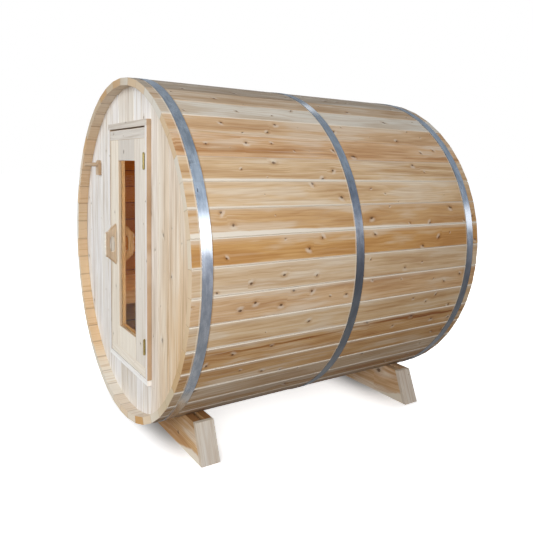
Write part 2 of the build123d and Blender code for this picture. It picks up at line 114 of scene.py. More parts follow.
class Wiring:
    """A node tree whose nodes are added by short calls."""

    def __init__(self, tree):
        self.tree = tree

    def put(self, socket, value):
        """Link an output to a socket, or set a plain value on it."""
        if isinstance(value, bpy.types.NodeSocket):
            self.tree.links.new(value, socket)
        elif value is not None:
            socket.default_value = value

    def node(self, kind, inputs=None, **settings):
        """A node with its settings and its inputs."""
        node = self.tree.nodes.new("ShaderNode" + kind)
        for name, value in settings.items():
            setattr(node, name, value)
        for key, value in (inputs or {}).items():
            self.put(node.inputs[key], value)
        return node

    def math(self, operation, *values):
        """One step of arithmetic."""
        return self.node("Math", dict(enumerate(values)), operation=operation).outputs[0]

    def plus(self, first, second):
        """The sum of two values."""
        return self.math("ADD", first, second)

    def minus(self, first, second):
        """The first value less the second."""
        return self.math("SUBTRACT", first, second)

    def times(self, first, second):
        """The product of two values."""
        return self.math("MULTIPLY", first, second)

    def over(self, first, second):
        """The first value divided by the second."""
        return self.math("DIVIDE", first, second)

    def scaled(self, value, factor, added):
        """The value times a factor, and a value added to it."""
        return self.math("MULTIPLY_ADD", value, factor, added)

    def away(self, first, second):
        """How far two values are apart."""
        return self.math("ABSOLUTE", self.minus(first, second))

    def mix(self, share, first, second, mode="MIX"):
        """First colour where share is 0, second where it is 1."""
        sockets = {0: share, 6: first, 7: second}
        return self.node("Mix", sockets, data_type="RGBA", blend_type=mode).outputs[2]

    def shade(self, share, colour, tint):
        """The colour, multiplied by the tint where share is 1."""
        return self.mix(share, colour, tint, "MULTIPLY")

    def step(self, value, low, high, to_low=0.0, to_high=1.0):
        """A smooth rise from to_low to to_high as value goes from low to high."""
        sockets = {0: value, 1: low, 2: high, 3: to_low, 4: to_high}
        return self.node("MapRange", sockets, interpolation_type="SMOOTHSTEP").outputs[0]

    def fall(self, value, low, high, start=1.0):
        """A smooth fall from start to 0 as value goes from low to high."""
        return self.step(value, low, high, start, 0.0)

    def join(self, x, y, z):
        """Three values as one vector."""
        return self.node("CombineXYZ", {0: x, 1: y, 2: z}).outputs[0]

    def split(self, vector):
        """The three values of a vector."""
        return self.node("SeparateXYZ", {0: vector}).outputs

    def place(self):
        """The three values of the place on the piece, in metres."""
        return self.split(self.node("TexCoord").outputs["Object"])

    def facing(self):
        """The three values of the direction that the surface faces."""
        return self.split(self.node("TexCoord").outputs["Normal"])

    def length(self, x, y):
        """The length of a flat vector."""
        return self.node("VectorMath", {0: self.join(x, y, 0.0)}, operation="LENGTH").outputs["Value"]

    def noise(self, place, bumps, detail=2.0, roughness=0.5):
        """Soft noise from 0 to 1, with so many bumps to a unit of each of the three values."""
        vector = self.node("VectorMath", {0: self.join(*place), 1: bumps}, operation="MULTIPLY").outputs[0]
        sockets = {"Vector": vector, "Scale": 1.0, "Detail": detail, "Roughness": roughness}
        return self.node("TexNoise", sockets).outputs[0]

    def chance(self, x, y):
        """Three random values that stay the same over each pair of whole numbers."""
        sockets = {"Vector": self.join(x, y, 0.0)}
        colour = self.node("TexWhiteNoise", sockets, noise_dimensions="2D").outputs[1]
        return self.node("SeparateColor", {0: colour}).outputs

    def ramp(self, value, stops, interpolation="LINEAR"):
        """A colour for each value, from stops of place and colour."""
        node = self.node("ValToRGB", {"Fac": value})
        elements = node.color_ramp.elements
        node.color_ramp.interpolation = interpolation
        elements.remove(elements[1])
        elements[0].position, elements[0].color = stops[0]
        for place, colour in stops[1:]:
            elements.new(place).color = colour
        return node.outputs[0]


def new_group(name, inputs, values=(), colours=()):
    """A shader node group with inputs (name: default value or colour), and values and colours as outputs.
    It gives the wiring of the group and its two ends."""
    tree = bpy.data.node_groups.new(name, "ShaderNodeTree")
    for key, default in inputs.items():
        kind = "NodeSocketColor" if isinstance(default, tuple) else "NodeSocketFloat"
        tree.interface.new_socket(key, in_out="INPUT", socket_type=kind).default_value = default
    for key in values:
        tree.interface.new_socket(key, in_out="OUTPUT", socket_type="NodeSocketFloat")
    for key in colours:
        tree.interface.new_socket(key, in_out="OUTPUT", socket_type="NodeSocketColor")
    start = tree.nodes.new("NodeGroupInput")
    end = tree.nodes.new("NodeGroupOutput")
    return Wiring(tree), start.outputs, end.inputs


def use_group(wires, name, inputs):
    """Place a group in a material with its own values, and give its outputs."""
    node = wires.node("Group", node_tree=bpy.data.node_groups[name])
    for key, value in inputs.items():
        wires.put(node.inputs[key], value)
    return node.outputs


def new_material(name):
    """A material with its Principled shader, and the wiring of its tree."""
    material = bpy.data.materials.new(name)
    material.use_nodes = True
    return material, Wiring(material.node_tree), material.node_tree.nodes["Principled BSDF"].inputs


# %% [markdown]
# ## Room
# The barrel stands in a white studio. Its steel bands are mirrors of the room, so the room is a gradient by
# height: a bright strip just over the horizon, a bluish ceiling and a dull ground. What the steel sees has a
# gradient of its own with three windows, and what lies before the door has another, for the pane.

# %% Room light
# Stops of height, from 0 straight down to 1 straight up, and the light there.
glow = [(0.0, (0.08, 0.08, 0.085, 1)), (0.46, (0.17, 0.17, 0.175, 1)), (0.53, (0.38, 0.38, 0.39, 1)),
        (0.60, (0.42, 0.43, 0.45, 1)), (0.75, (0.32, 0.34, 0.37, 1)), (1.0, (0.20, 0.22, 0.25, 1))]
mirrored = [(0.0, (0.42, 0.42, 0.42, 1)), (0.30, (0.40, 0.41, 0.44, 1)), (0.44, (0.50, 0.52, 0.58, 1)),
            (0.54, (0.72, 0.76, 0.84, 1)), (0.64, (0.62, 0.70, 0.82, 1)), (0.78, (0.48, 0.56, 0.66, 1)),
            (0.90, (0.50, 0.57, 0.64, 1)), (0.95, (0.30, 0.34, 0.38, 1)), (1.0, (0.34, 0.38, 0.42, 1))]
before_door = [(0.0, (1.2, 1.0, 0.82, 1)), (0.352, (1.2, 1.0, 0.82, 1)), (0.375, (0.75, 0.65, 0.55, 1)),
               (0.40, (0.20, 0.18, 0.16, 1)), (0.43, (0.10, 0.10, 0.10, 1)), (1.0, (0.20, 0.22, 0.25, 1))]
left_gloom = (0.15, 0.16, 0.17, 1)
plain_white = (1, 1, 1, 1)
# Each window: degrees round and up, the cosines where its patch is full and where it ends, and its strength.
windows = [(27.0, 15.0, 0.992, 0.972, 1.7), (55.0, 10.0, 0.998, 0.990, 2.2), (129.0, 40.0, 0.999, 0.995, 2.6)]


def window_direction(round_degrees, up_degrees):
    """The direction at an angle round the barrel and an angle up."""
    across = math.radians(round_degrees)
    up = math.radians(up_degrees)
    return (math.cos(across) * math.cos(up), math.sin(across) * math.cos(up), math.sin(up))


def studio_world():
    """Light by the height of its direction. The camera sees plain white. The steel sees windows too, each a
    round patch where the direction is close to the window's own."""
    world = bpy.data.worlds.new("studio")
    world.use_nodes = True
    wires = Wiring(world.node_tree)
    wires.tree.nodes.clear()
    direction = wires.node("TexCoord").outputs["Generated"]
    toward_x, toward_y, toward_z = wires.split(direction)
    height = wires.scaled(toward_z, 0.5, 0.5)
    steel_sees = wires.ramp(height, mirrored)
    for round_degrees, up_degrees, full, ends, strength in windows:
        sockets = {0: direction, 1: window_direction(round_degrees, up_degrees)}
        near = wires.node("VectorMath", sockets, operation="DOT_PRODUCT").outputs["Value"]
        steel_sees = wires.mix(wires.step(near, ends, full), steel_sees, (strength,) * 3 + (1,), "ADD")
    steel_sees = wires.mix(wires.fall(toward_x, -0.55, -0.15, 0.55), steel_sees, left_gloom)
    past_door = wires.step(toward_y, -0.35, 0.15)
    steel_sees = wires.mix(past_door, wires.ramp(height, before_door), steel_sees)
    path = wires.node("LightPath").outputs
    colour = wires.mix(path["Is Glossy Ray"], wires.ramp(height, glow), steel_sees)
    colour = wires.mix(path["Is Camera Ray"], colour, plain_white)
    room = wires.node("Background", {"Color": colour, "Strength": 1.0})
    wires.node("OutputWorld", {"Surface": room.outputs[0]})
    bpy.context.scene.world = world


studio_world()
print("room:", bpy.context.scene.world.name, "with", len(windows), "windows for the steel")

# %% [markdown]
# ## Lamps
# Four softboxes stand round the barrel, as a photographer would set them: cool ones in front and above, a
# warm one at the side that faces the camera, and one behind. The upper and the rear one would show as white
# patches in the steel, so they are hidden from mirrors.

# %% Lamps
def facing_matrix(place, direction):
    """A place, turned so that a lamp there shines along the direction."""
    return Matrix.Translation(place) @ direction.to_track_quat("-Z", "Y").to_matrix().to_4x4()


def softbox(name, place, size, power, colour):
    """A square lamp that faces the middle of the barrel."""
    lamp = bpy.data.lights.new(name, "AREA")
    lamp.size = size
    lamp.energy = power
    lamp.color = colour
    holder = bpy.data.objects.new(name, lamp)
    holder.matrix_world = facing_matrix(Vector(place), barrel_middle - Vector(place))
    bpy.context.scene.collection.objects.link(holder)
    return holder


softbox("front_lamp", place=(-1.6, -6.0, 2.6), size=4.0, power=175.0, colour=(0.95, 0.98, 1.0))
softbox("side_lamp", place=(4.2, -2.9, 2.1), size=2.5, power=152.0, colour=(1.0, 0.975, 0.94))
over_lamp = softbox("over_lamp", place=(0.5, -0.5, 7.0), size=5.0, power=36.0, colour=(0.95, 0.975, 1.0))
rear_lamp = softbox("rear_lamp", place=(-4.6, 4.8, 2.8), size=4.0, power=240.0, colour=(1.0, 0.985, 0.96))
over_lamp.visible_glossy = False
rear_lamp.visible_glossy = False
print("lamps:", sorted(lamp.name for lamp in bpy.data.lights))

# %% [markdown]
# ## Floor
# The floor is as white as the room, so only the soft shadow of the barrel shows on it. It sends no light back
# up under the barrel. Before each cradle the shadow deepens, and it is painted there by distance.

# %% Floor
floor_reach = 60.0
floor_white = (1.4, 1.4, 1.4, 1)
floor_shine = 0.68
shadow_ahead = 0.31
shadow_depth = 0.85


def cradle_shadow(wires, cradle):
    """1 at the cradle's foot: a power of the rise toward it, times its fall behind, along and at the ends."""
    x, y, z = wires.place()
    low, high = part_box(cradle)
    ahead = wires.math("POWER", wires.step(y, low.y - shadow_ahead, low.y + 0.04), 1.7)
    behind = wires.fall(y, high.y - 0.02, high.y + 0.10)
    from_middle = wires.math("ABSOLUTE", x)
    along = wires.step(from_middle, 0.20, 0.75, 1.0, 0.35)
    ends = wires.fall(from_middle, 0.64, 0.74)
    return wires.times(wires.times(ahead, behind), wires.times(along, ends))


def studio_floor():
    """A wide pale floor, seen by the camera only. It darkens by the greater of the two cradles' shadows."""
    mesh = bpy.data.meshes.new("floor")
    corners = [(-floor_reach, -floor_reach, 0), (floor_reach, -floor_reach, 0),
               (floor_reach, floor_reach, 0), (-floor_reach, floor_reach, 0)]
    mesh.from_pydata(corners, [], [(0, 1, 2, 3)])
    floor = bpy.data.objects.new("floor", mesh)
    material, wires, shader = new_material("pale_floor")
    dark = wires.math("MAXIMUM", cradle_shadow(wires, "cradle_front"), cradle_shadow(wires, "cradle_rear"))
    light = wires.minus(1.0, wires.times(dark, shadow_depth))
    grey = wires.join(light, light, light)
    wires.put(shader["Base Color"], wires.shade(1.0, floor_white, grey))
    wires.put(shader["Emission Color"], grey)
    shader["Roughness"].default_value = 1.0
    shader["Specular IOR Level"].default_value = 0.0
    shader["Emission Strength"].default_value = floor_shine
    mesh.materials.append(material)
    floor.visible_diffuse = False
    floor.visible_glossy = False
    bpy.context.scene.collection.objects.link(floor)
    print("floor:", 2 * floor_reach, "m wide")


studio_floor()

# %% [markdown]
# ## Wood grain
# Sawn cedar shows a slow drift of colour along the board, dark streaks of heartwood, fine lines of grain, and
# knots with a ring round them that the grain flows about. One group works these out from three values: the
# place along the board, the place across it, and the board's number. Every wood below uses it.

# %% Group: plank grain
grain_inputs = {"Along": 0.0, "Across": 0.0, "Board": 0.0, "Width": 0.12, "Knot pitch": 0.2,
                "Knot size": 0.006}
grain_masks = ["Drift", "Streak", "Line", "Pale", "Ring", "Fine", "Knot", "Halo", "Flare"]


def knot_masks(wires, given, board_chance):
    """One knot to a cell along the board, at a random place, of a random size, stretch and tilt. Its distance
    in knot radii, made ragged by noise, gives the core, the halo and a pale flare at one side. Grain near it
    is pushed apart: the place across, less a share of the way from the knot that fades with the distance."""
    pitch = given["Knot pitch"]
    cells = wires.plus(wires.over(given["Along"], pitch), wires.times(board_chance[0], 9.0))
    cell = wires.math("FLOOR", cells)
    place_chance = wires.chance(given["Board"], cell)
    shape_chance = wires.chance(wires.plus(given["Board"], 300.0), cell)
    place = wires.scaled(place_chance[0], 0.7, 0.15)
    along = wires.times(wires.minus(wires.math("FRACT", cells), place), pitch)
    side = wires.times(wires.minus(place_chance[1], 0.5), given["Width"])
    across = wires.scaled(side, -0.84, given["Across"])
    radius = wires.times(given["Knot size"], wires.step(place_chance[2], 0.22, 1.0, 0.04, 1.4))

    sockets = {"Vector": wires.join(along, across, 0.0), "Angle": wires.scaled(shape_chance[0], 1.8, -0.9)}
    tilted = wires.split(wires.node("VectorRotate", sockets, rotation_type="Z_AXIS").outputs[0])
    ahead = wires.over(tilted[0], radius)
    aside = wires.over(tilted[1], radius)
    stretch = wires.scaled(shape_chance[1], 0.6, 0.45)
    ragged = wires.minus(wires.noise((along, across, cell), (150.0, 150.0, 1.7)), 0.5)
    uneven = wires.minus(wires.noise((along, across, cell), (260.0, 260.0, 2.9)), 0.5)
    distance = wires.length(wires.scaled(ragged, 1.6, wires.times(ahead, stretch)),
                            wires.scaled(uneven, 1.6, aside))
    knot = wires.fall(distance, 0.40, 0.95)
    halo = wires.fall(distance, 0.8, 2.6)
    way = wires.math("SIGN", wires.minus(shape_chance[2], 0.5))
    beside = wires.scaled(way, 1.3, wires.scaled(ragged, 1.2, aside))
    flare = wires.fall(wires.length(wires.times(ahead, 0.5), beside), 0.3, 1.7)
    spread = wires.scaled(wires.math("POWER", distance, 2.0), 0.10, 1.0)
    pushed = wires.times(across, wires.math("POWER", spread, -1.5))
    return knot, halo, flare, wires.scaled(pushed, -0.6, given["Across"])


def plank_grain_group():
    """Noise stretched along the board, at four widths, gives the drift, the streaks, the lines and the fine
    grain. The fraction of a wavy place across gives the yearly rings that the saw has cut."""
    wires, given, made = new_group("Plank grain", grain_inputs, [*grain_masks, "Chance", "Height"])
    board_chance = wires.chance(given["Board"], 91.0)
    knot, halo, flare, pushed = knot_masks(wires, given, board_chance)
    sway = wires.noise((given["Along"], given["Board"], 5.0), (1.5, 1.0, 1.0), 1.0)
    bent = wires.scaled(sway, 0.014, pushed)

    def stretched(per_across, per_along, shift, detail, roughness):
        """Noise with so many bumps to a metre across the board and along it."""
        seed = wires.scaled(given["Board"], 7.31, shift)
        return wires.noise((bent, given["Along"], seed), (per_across, per_along, 1.0), detail, roughness)

    drift = stretched(per_across=13.0, per_along=1.9, shift=0.0, detail=3.0, roughness=0.55)
    streak = stretched(per_across=30.0, per_along=1.1, shift=3.7, detail=3.0, roughness=0.55)
    line = stretched(per_across=110.0, per_along=2.0, shift=6.1, detail=3.0, roughness=0.62)
    fine = stretched(per_across=330.0, per_along=7.0, shift=1.9, detail=2.0, roughness=0.6)
    wavy = stretched(per_across=10.0, per_along=0.8, shift=8.3, detail=1.0, roughness=0.4)
    year = wires.math("FRACT", wires.scaled(wavy, 9.0, wires.times(bent, 55.0)))
    wires.put(made["Drift"], wires.step(drift, 0.30, 0.70))
    wires.put(made["Streak"], wires.step(streak, 0.52, 0.70))
    wires.put(made["Line"], wires.step(line, 0.50, 0.68))
    wires.put(made["Pale"], wires.fall(line, 0.34, 0.47))
    wires.put(made["Ring"], wires.times(wires.step(year, 0.25, 0.86), wires.fall(year, 0.86, 1.0)))
    wires.put(made["Fine"], fine)
    wires.put(made["Knot"], knot)
    wires.put(made["Halo"], wires.minus(halo, knot))
    wires.put(made["Flare"], wires.times(flare, wires.minus(1.0, knot)))
    wires.put(made["Chance"], board_chance[1])
    wires.put(made["Height"], wires.scaled(knot, 0.4, fine))


plank_grain_group()
print("group: Plank grain, masks", ", ".join(grain_masks))

# %% [markdown]
# ## End grain
# Where a board is cut across, its yearly rings show as arcs round the heart of the tree. The heart of a sawn
# board lies off its edge, so each board gets a heart of its own, and the rings are distances from it.

# %% Group: end grain
def end_grain_group():
    """Rings round a heart that lies off the board: the distance from it, bent by noise, cut into years."""
    wires, given, made = new_group("End grain", {"Across": 0.0, "Up": 0.0, "Board": 0.0}, ["Ring"])
    heart = wires.chance(given["Board"], 17.0)
    side = wires.minus(given["Across"], wires.scaled(heart[0], 0.16, -0.08))
    up = wires.plus(given["Up"], wires.scaled(heart[1], 0.10, 0.02))
    wander = wires.noise((side, up, given["Board"]), (30.0, 30.0, 1.0))
    years = wires.scaled(wires.length(side, up), 210.0, wires.times(wander, 1.2))
    wires.put(made["Ring"], wires.step(wires.math("FRACT", years), 0.0, 0.85))


end_grain_group()
print("group: End grain")

# %% [markdown]
# ## Tones of cedar
# One tree gives white sapwood and honey, orange or brown heartwood, so no two staves match. The tones are
# named once, and so are the tints: some darken a tone at a joint or a ring, others are painted shade.

# %% Tones
tones = {
    "grey": srgb(187, 175, 159), "brown": srgb(184, 160, 133), "cream": srgb(226, 220, 208),
    "honey": srgb(218, 186, 148), "orange": srgb(218, 182, 142), "amber": srgb(208, 170, 122),
    "golden": srgb(208, 164, 106), "tan": srgb(220, 193, 156), "beige": srgb(216, 192, 160),
    "taupe": srgb(206, 182, 153), "sapwood": srgb(236, 229, 216), "knot": srgb(88, 58, 35),
    "white": srgb(244, 243, 243), "pale": srgb(233, 227, 218), "stone": srgb(217, 211, 203),
    "jamb": srgb(188, 154, 115), "inside": srgb(160, 104, 20), "cabin": srgb(190, 136, 40),
    "rim": srgb(230, 200, 160), "end": srgb(234, 224, 207), "smoke": srgb(132, 118, 105),
    "chalk": srgb(253, 252, 250), "ivory": srgb(246, 239, 226), "warm wall": srgb(222, 194, 156),
    "bark": srgb(172, 136, 94), "outer_edge_highlight": srgb(240, 234, 222),
}
warm_shade = (0.72, 0.57, 0.41, 1)
pale_shade = (0.78, 0.725, 0.66, 1)
# Tints for the lower rear, behind the bands and under the barrel are painted shade; the rest darken joints,
# rings, ends and the cabin's side.
tints = {
    "far_half_shade": (0.92, 0.88, 0.82, 1), "joint": (0.45, 0.33, 0.22, 1), "behind band": (0.45, 0.36, 0.27, 1),
    "underside_shade": (0.36, 0.30, 0.24, 1), "cabin joint": (0.30, 0.20, 0.13, 1), "end ring": (0.72, 0.57, 0.42, 1),
    "end joint": (0.5, 0.38, 0.26, 1), "left end": (0.68, 0.60, 0.50, 1), "wall joint": (0.55, 0.46, 0.38, 1),
    "cabin wall": (0.62, 0.40, 0.17, 1),
}
print("tones:", len(tones), "tints:", len(tints))

# %% [markdown]
# ## Colour of wood
# A third group lays the masks of the grain over a tone. Every wood below places it with its own tone and its
# own shares of streaks and lines. The finish is planed and unoiled, so it is dull, and the grain stands up a
# little from the surface.

# %% Group: wood colour
def wood_colour_group():
    """The tone, darker and warmer where the drift is low and paler where it is high, then streaks, lines and
    fine grain in the shade colour, pale lines between them, and knots with a shaded halo and a pale flare."""
    inputs = dict.fromkeys(grain_masks, 0.0)
    inputs.update({"Tone": tones["tan"], "Shade": warm_shade, "Knot tone": tones["knot"],
                   "Streaks": 0.3, "Lines": 0.3, "Drift share": 0.6})
    wires, given, made = new_group("Wood colour", inputs, colours=["Colour"])
    darker = wires.step(given["Drift"], 0.0, 0.5, wires.times(given["Drift share"], 0.7), 0.0)
    colour = wires.shade(darker, given["Tone"], given["Shade"])
    paler = wires.step(given["Drift"], 0.5, 1.0, 0.0, wires.times(given["Drift share"], 0.6))
    colour = wires.mix(paler, colour, tones["sapwood"])
    shaded = {"Streak": given["Streaks"], "Line": given["Lines"], "Ring": 0.26, "Halo": 0.6}
    for mask, amount in shaded.items():
        colour = wires.shade(wires.times(given[mask], amount), colour, given["Shade"])
    colour = wires.shade(wires.step(given["Fine"], 0.35, 0.7, 0.0, 0.34), colour, given["Shade"])
    lightened = {"Pale": wires.times(given["Lines"], 0.4), "Flare": 0.45}
    for mask, amount in lightened.items():
        colour = wires.mix(wires.times(given[mask], amount), colour, tones["sapwood"])
    colour = wires.mix(wires.times(given["Knot"], 0.9), colour, given["Knot tone"])
    wires.put(made["Colour"], colour)


wood_colour_group()


def wood_colour(wires, grain, tone, streaks, lines, drift, shade=warm_shade, knot_tone="knot"):
    """Place the group in a material, over the masks of its grain."""
    inputs = {mask: grain[mask] for mask in grain_masks}
    inputs.update({"Tone": tone, "Shade": shade, "Knot tone": tones[knot_tone],
                   "Streaks": streaks, "Lines": lines, "Drift share": drift})
    return use_group(wires, "Wood colour", inputs)["Colour"]


def wood_finish(wires, shader, grain, colour, roughness=0.58, bump=0.2):
    """Planed and unoiled: dull, a little duller on the grain lines, with the lines and knots just raised."""
    wires.put(shader["Base Color"], colour)
    wires.put(shader["Roughness"], wires.step(grain["Fine"], 0.2, 0.8, roughness, roughness + 0.14))
    shader["Specular IOR Level"].default_value = 0.3
    relief = wires.node("Bump", {"Strength": bump, "Distance": 0.0012, "Height": grain["Height"]})
    wires.put(shader["Normal"], relief.outputs[0])


print("group: Wood colour")

# %% [markdown]
# ## Which stave is which
# Each stave is a board that its bevelled joints turn into part of a ring. The angle round the axis, divided
# by the angle of one stave, gives its number and the place across it, so one material serves all of them. A
# stave's tone is given one by one where the photograph shows it, and the hidden half takes the same tones in
# another order.

# %% Traits of the staves
# Down the right side from the top: tone, sapwood at the lower edge, pale line at the upper edge (partly
# sapwood, partly a painted highlight on the eased edge), streaks.
# The grey of the top staves is partly weathering and partly painted shade, as little light falls from above.
stave_traits = [
    ("grey", 0.00, 0.1, 0.5), ("grey", 0.00, 0.1, 0.5), ("grey", 0.00, 0.2, 0.6), ("taupe", 0.00, 0.0, 0.7),
    ("cream", 0.02, 0.4, 0.2), ("honey", 0.00, 0.1, 0.3), ("orange", 0.00, 0.0, 0.9), ("tan", 0.08, 0.5, 0.8),
    ("tan", 0.06, 0.7, 0.3), ("amber", 0.16, 0.6, 0.3), ("golden", 0.05, 1.0, 0.3), ("beige", 0.05, 0.8, 0.5),
    ("honey", 0.03, 0.9, 0.6), ("tan", 0.06, 0.9, 0.7), ("amber", 0.04, 0.9, 1.0), ("amber", 0.05, 0.9, 0.8),
    ("taupe", 0.04, 0.8, 0.8), ("jamb", 0.05, 0.8, 0.9), ("taupe", 0.04, 0.7, 0.5), ("tan", 0.08, 0.6, 0.4),
    ("beige", 0.05, 0.6, 0.4), ("honey", 0.12, 0.5, 0.5), ("taupe", 0.05, 0.5, 0.5)]


def stave_place(wires):
    """Number = whole part of (angle - turn) / stave angle. Share = the fraction of it, from the upper edge.
    Across = (share - half) * stave width. Gap = the share from the nearer edge."""
    x, y, z = wires.place()
    up = wires.minus(z, axis_height)
    angle = wires.math("ARCTAN2", x, up)
    count = wires.over(wires.minus(angle, stave_turn), stave_angle)
    number = wires.math("FLOORED_MODULO", wires.math("FLOOR", count), float(stave_count))
    share = wires.math("FRACT", count)
    from_lower = wires.minus(1.0, share)
    return SimpleNamespace(x=x, y=y, up=up, radius=wires.length(x, up), number=number, share=share,
                           across=wires.times(wires.minus(share, 0.5), stave_width),
                           from_lower=from_lower, gap=wires.math("MINIMUM", share, from_lower))


def chosen_traits(wires, number):
    """Ramps with one even stop to each trait give the tone and the three shares of a stave. On the hidden
    half the trait is number * 7 + 3, counted round."""
    half = len(stave_traits)
    other = wires.math("FLOORED_MODULO", wires.scaled(number, 7.0, 3.0), float(half))
    hidden = wires.math("GREATER_THAN", number, half - 0.5)
    trait = wires.scaled(hidden, wires.minus(other, number), number)
    trait_place = wires.over(wires.plus(trait, 0.5), float(half))
    tone_stops = [(k / half, tones[traits[0]]) for k, traits in enumerate(stave_traits)]
    share_stops = [(k / half, (*traits[1:], 1.0)) for k, traits in enumerate(stave_traits)]
    tone = wires.ramp(trait_place, tone_stops, "CONSTANT")
    sapwood, pale_line_and_highlight, streaks = wires.split(wires.ramp(trait_place, share_stops, "CONSTANT"))
    return tone, sapwood, pale_line_and_highlight, streaks


print("staves with a chosen tone:", len(stave_traits), "of", stave_count)

# %% [markdown]
# ## Outside of the staves
# The faces show the grain, strips of white sapwood along the edges, a painted highlight in the pale upper
# line, and a dark line at each joint. A pale line lies before each band and a painted shadow behind it.
# Painted shade darkens the lower rear and the lowest staves.

# %% Outside of the staves
def sapwood_and_highlight_edges(wires, at, sapwood, pale_line_and_highlight):
    """The lower strip is as wide as the stave's share, tapered along the barrel and waved by noise. The upper
    line, partly sapwood and partly a painted highlight on the eased edge, is thin, with a soft fall below it."""
    wave = wires.noise((at.y, at.number, 0.0), (1.6, 1.0, 1.0), 3.0)
    rough = wires.noise((at.y, at.number, 4.0), (14.0, 1.0, 1.0), 3.0)
    tapers = wires.step(at.y, staves_low[1], staves_high[1], 1.25, 0.25)
    ragged = wires.scaled(rough, 0.3, wires.scaled(wave, 0.8, 0.45))
    strip = wires.times(sapwood, wires.times(tapers, ragged))
    lower = wires.fall(wires.minus(at.from_lower, strip), -0.03, 0.03, 0.9)
    line_width = wires.scaled(wave, 0.05, 0.012)
    line = wires.fall(wires.minus(at.share, line_width), -0.012, 0.014)
    soft = wires.fall(at.share, 0.0, 0.22, 0.4)
    upper = wires.times(wires.math("MAXIMUM", line, soft), pale_line_and_highlight)
    return wires.math("MAXIMUM", lower, upper)


def stave_outside(wires, at, grain):
    """The chosen tone under the grain, deeper streaks on the most streaked staves, painted shade on the lower
    rear, sapwood at the lower edge, sapwood and a painted highlight at the upper edge, dark joints, a pale
    line before each band and a painted shadow behind it, and painted shade below."""
    tone, sapwood, pale_line_and_highlight, streaks = chosen_traits(wires, at.number)
    colour = wood_colour(wires, grain, tone, streaks, wires.scaled(streaks, 0.45, 0.12), 0.7)
    deep = wires.times(grain["Streak"], wires.step(streaks, 0.92, 1.0))
    colour = wires.shade(deep, colour, warm_shade)
    # Painted shade: the lower rear is darker, as less light reaches it.
    far = wires.times(wires.step(at.y, -0.1, 0.25), wires.fall(at.up, 0.1, 0.45))
    colour = wires.shade(far, colour, tints["far_half_shade"])
    # The upper pale line is partly sapwood, partly a painted highlight on the eased edge.
    colour = wires.mix(sapwood_and_highlight_edges(wires, at, sapwood, pale_line_and_highlight), colour, tones["sapwood"])
    colour = wires.shade(wires.fall(at.gap, 0.002, 0.010, 0.55), colour, tints["joint"])
    for low, high in band_boxes.values():
        # A pale line toward the sapwood tone just before each band.
        dust = wires.times(wires.step(at.y, low.y - 0.007, low.y - 0.004),
                           wires.fall(at.y, low.y - 0.001, low.y, 0.5))
        colour = wires.mix(dust, colour, tones["sapwood"])
        shadow = wires.times(wires.step(at.y, high.y, high.y + 0.001),
                             wires.fall(at.y, high.y + 0.003, high.y + 0.008, 0.6))
        colour = wires.shade(shadow, colour, tints["behind band"])
    # Painted shade under the barrel darkens the lowest staves.
    underside_shade = wires.fall(at.up, -0.87 * barrel_radius, -0.79 * barrel_radius, 0.85)
    return wires.shade(underside_shade, colour, tints["underside_shade"])


# %% [markdown]
# ## Inside and ends of the staves
# Between the end walls the staves have darkened to amber. Past the walls the rim is open to the weather. The
# sawn ends show rings, and each has a tone of its own, under a tint that goes by height, and otherwise on the
# left than on the right.

# %% Stave wood
stave_knot_pitch = 0.112
stave_knot_size = 0.0062
golden_end = 20.0
wall_reach = barrel_middle.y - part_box("front_wall_right")[0].y
inner_radius = barrel_radius - stave_thickness
# Stops of height, from 0 at the lowest stave to 1 at the highest, and the tint laid on the sawn ends there.
end_tint_stops = [(0.28, (0.70, 0.64, 0.52, 1)), (0.42, (0.84, 0.82, 0.78, 1)), (0.62, (0.84, 0.82, 0.78, 1)),
           (0.80, (0.77, 0.79, 0.81, 1))]


def stave_inside(wires, at, grain):
    """Amber within the walls, and a rim whose tone goes by height and by chance, with dark joints on both."""
    within = wires.fall(wires.away(at.y, barrel_middle.y), wall_reach - 0.01, wall_reach)
    cabin = wires.mix(wires.step(grain["Chance"], 0.2, 0.9), tones["inside"], tones["cabin"])
    rim = wires.mix(wires.step(at.up, -0.85, -0.65), tones["sapwood"], tones["rim"])
    rim = wires.mix(wires.step(at.up, -0.5, 0.5, 0.0, 0.8), rim, tones["taupe"])
    rim = wires.mix(wires.step(grain["Chance"], 0.2, 0.9, 0.0, 0.4), rim, tones["orange"])
    rim = wires.mix(wires.step(at.up, 0.6, 0.85, 0.0, 0.5), rim, tones["sapwood"])
    colour = wires.mix(within, rim, cabin)
    colour = wires.shade(wires.times(grain["Line"], 0.6), colour, warm_shade)
    joint = wires.times(wires.fall(at.gap, 0.02, 0.05), wires.step(within, 0.0, 1.0, 0.4, 0.9))
    return wires.shade(joint, colour, tints["cabin joint"])


def stave_ends(wires, at, grain):
    """A tone by chance, and one golden end, tinted by its height and side, with rings and joints."""
    inputs = {"Across": at.across, "Up": wires.minus(at.radius, barrel_radius), "Board": at.number}
    ring = use_group(wires, "End grain", inputs)["Ring"]
    end_stops = [(0.0, tones["sapwood"]), (0.5, tones["end"]), (1.0, tones["rim"])]
    colour = wires.ramp(grain["Chance"], end_stops)
    colour = wires.mix(wires.math("COMPARE", at.number, golden_end, 0.5), colour, tones["golden"])
    end_tint = wires.ramp(wires.scaled(at.up, 0.5 / barrel_radius, 0.5), end_tint_stops)
    end_tint = wires.mix(wires.step(at.x, -0.1, 0.2), tints["left end"], end_tint)
    colour = wires.shade(wires.step(wires.plus(at.x, at.up), -0.5, 0.1), colour, end_tint)
    colour = wires.shade(wires.times(ring, 0.25), colour, tints["end ring"])
    return wires.shade(wires.fall(at.gap, 0.006, 0.018, 0.6), colour, tints["end joint"])


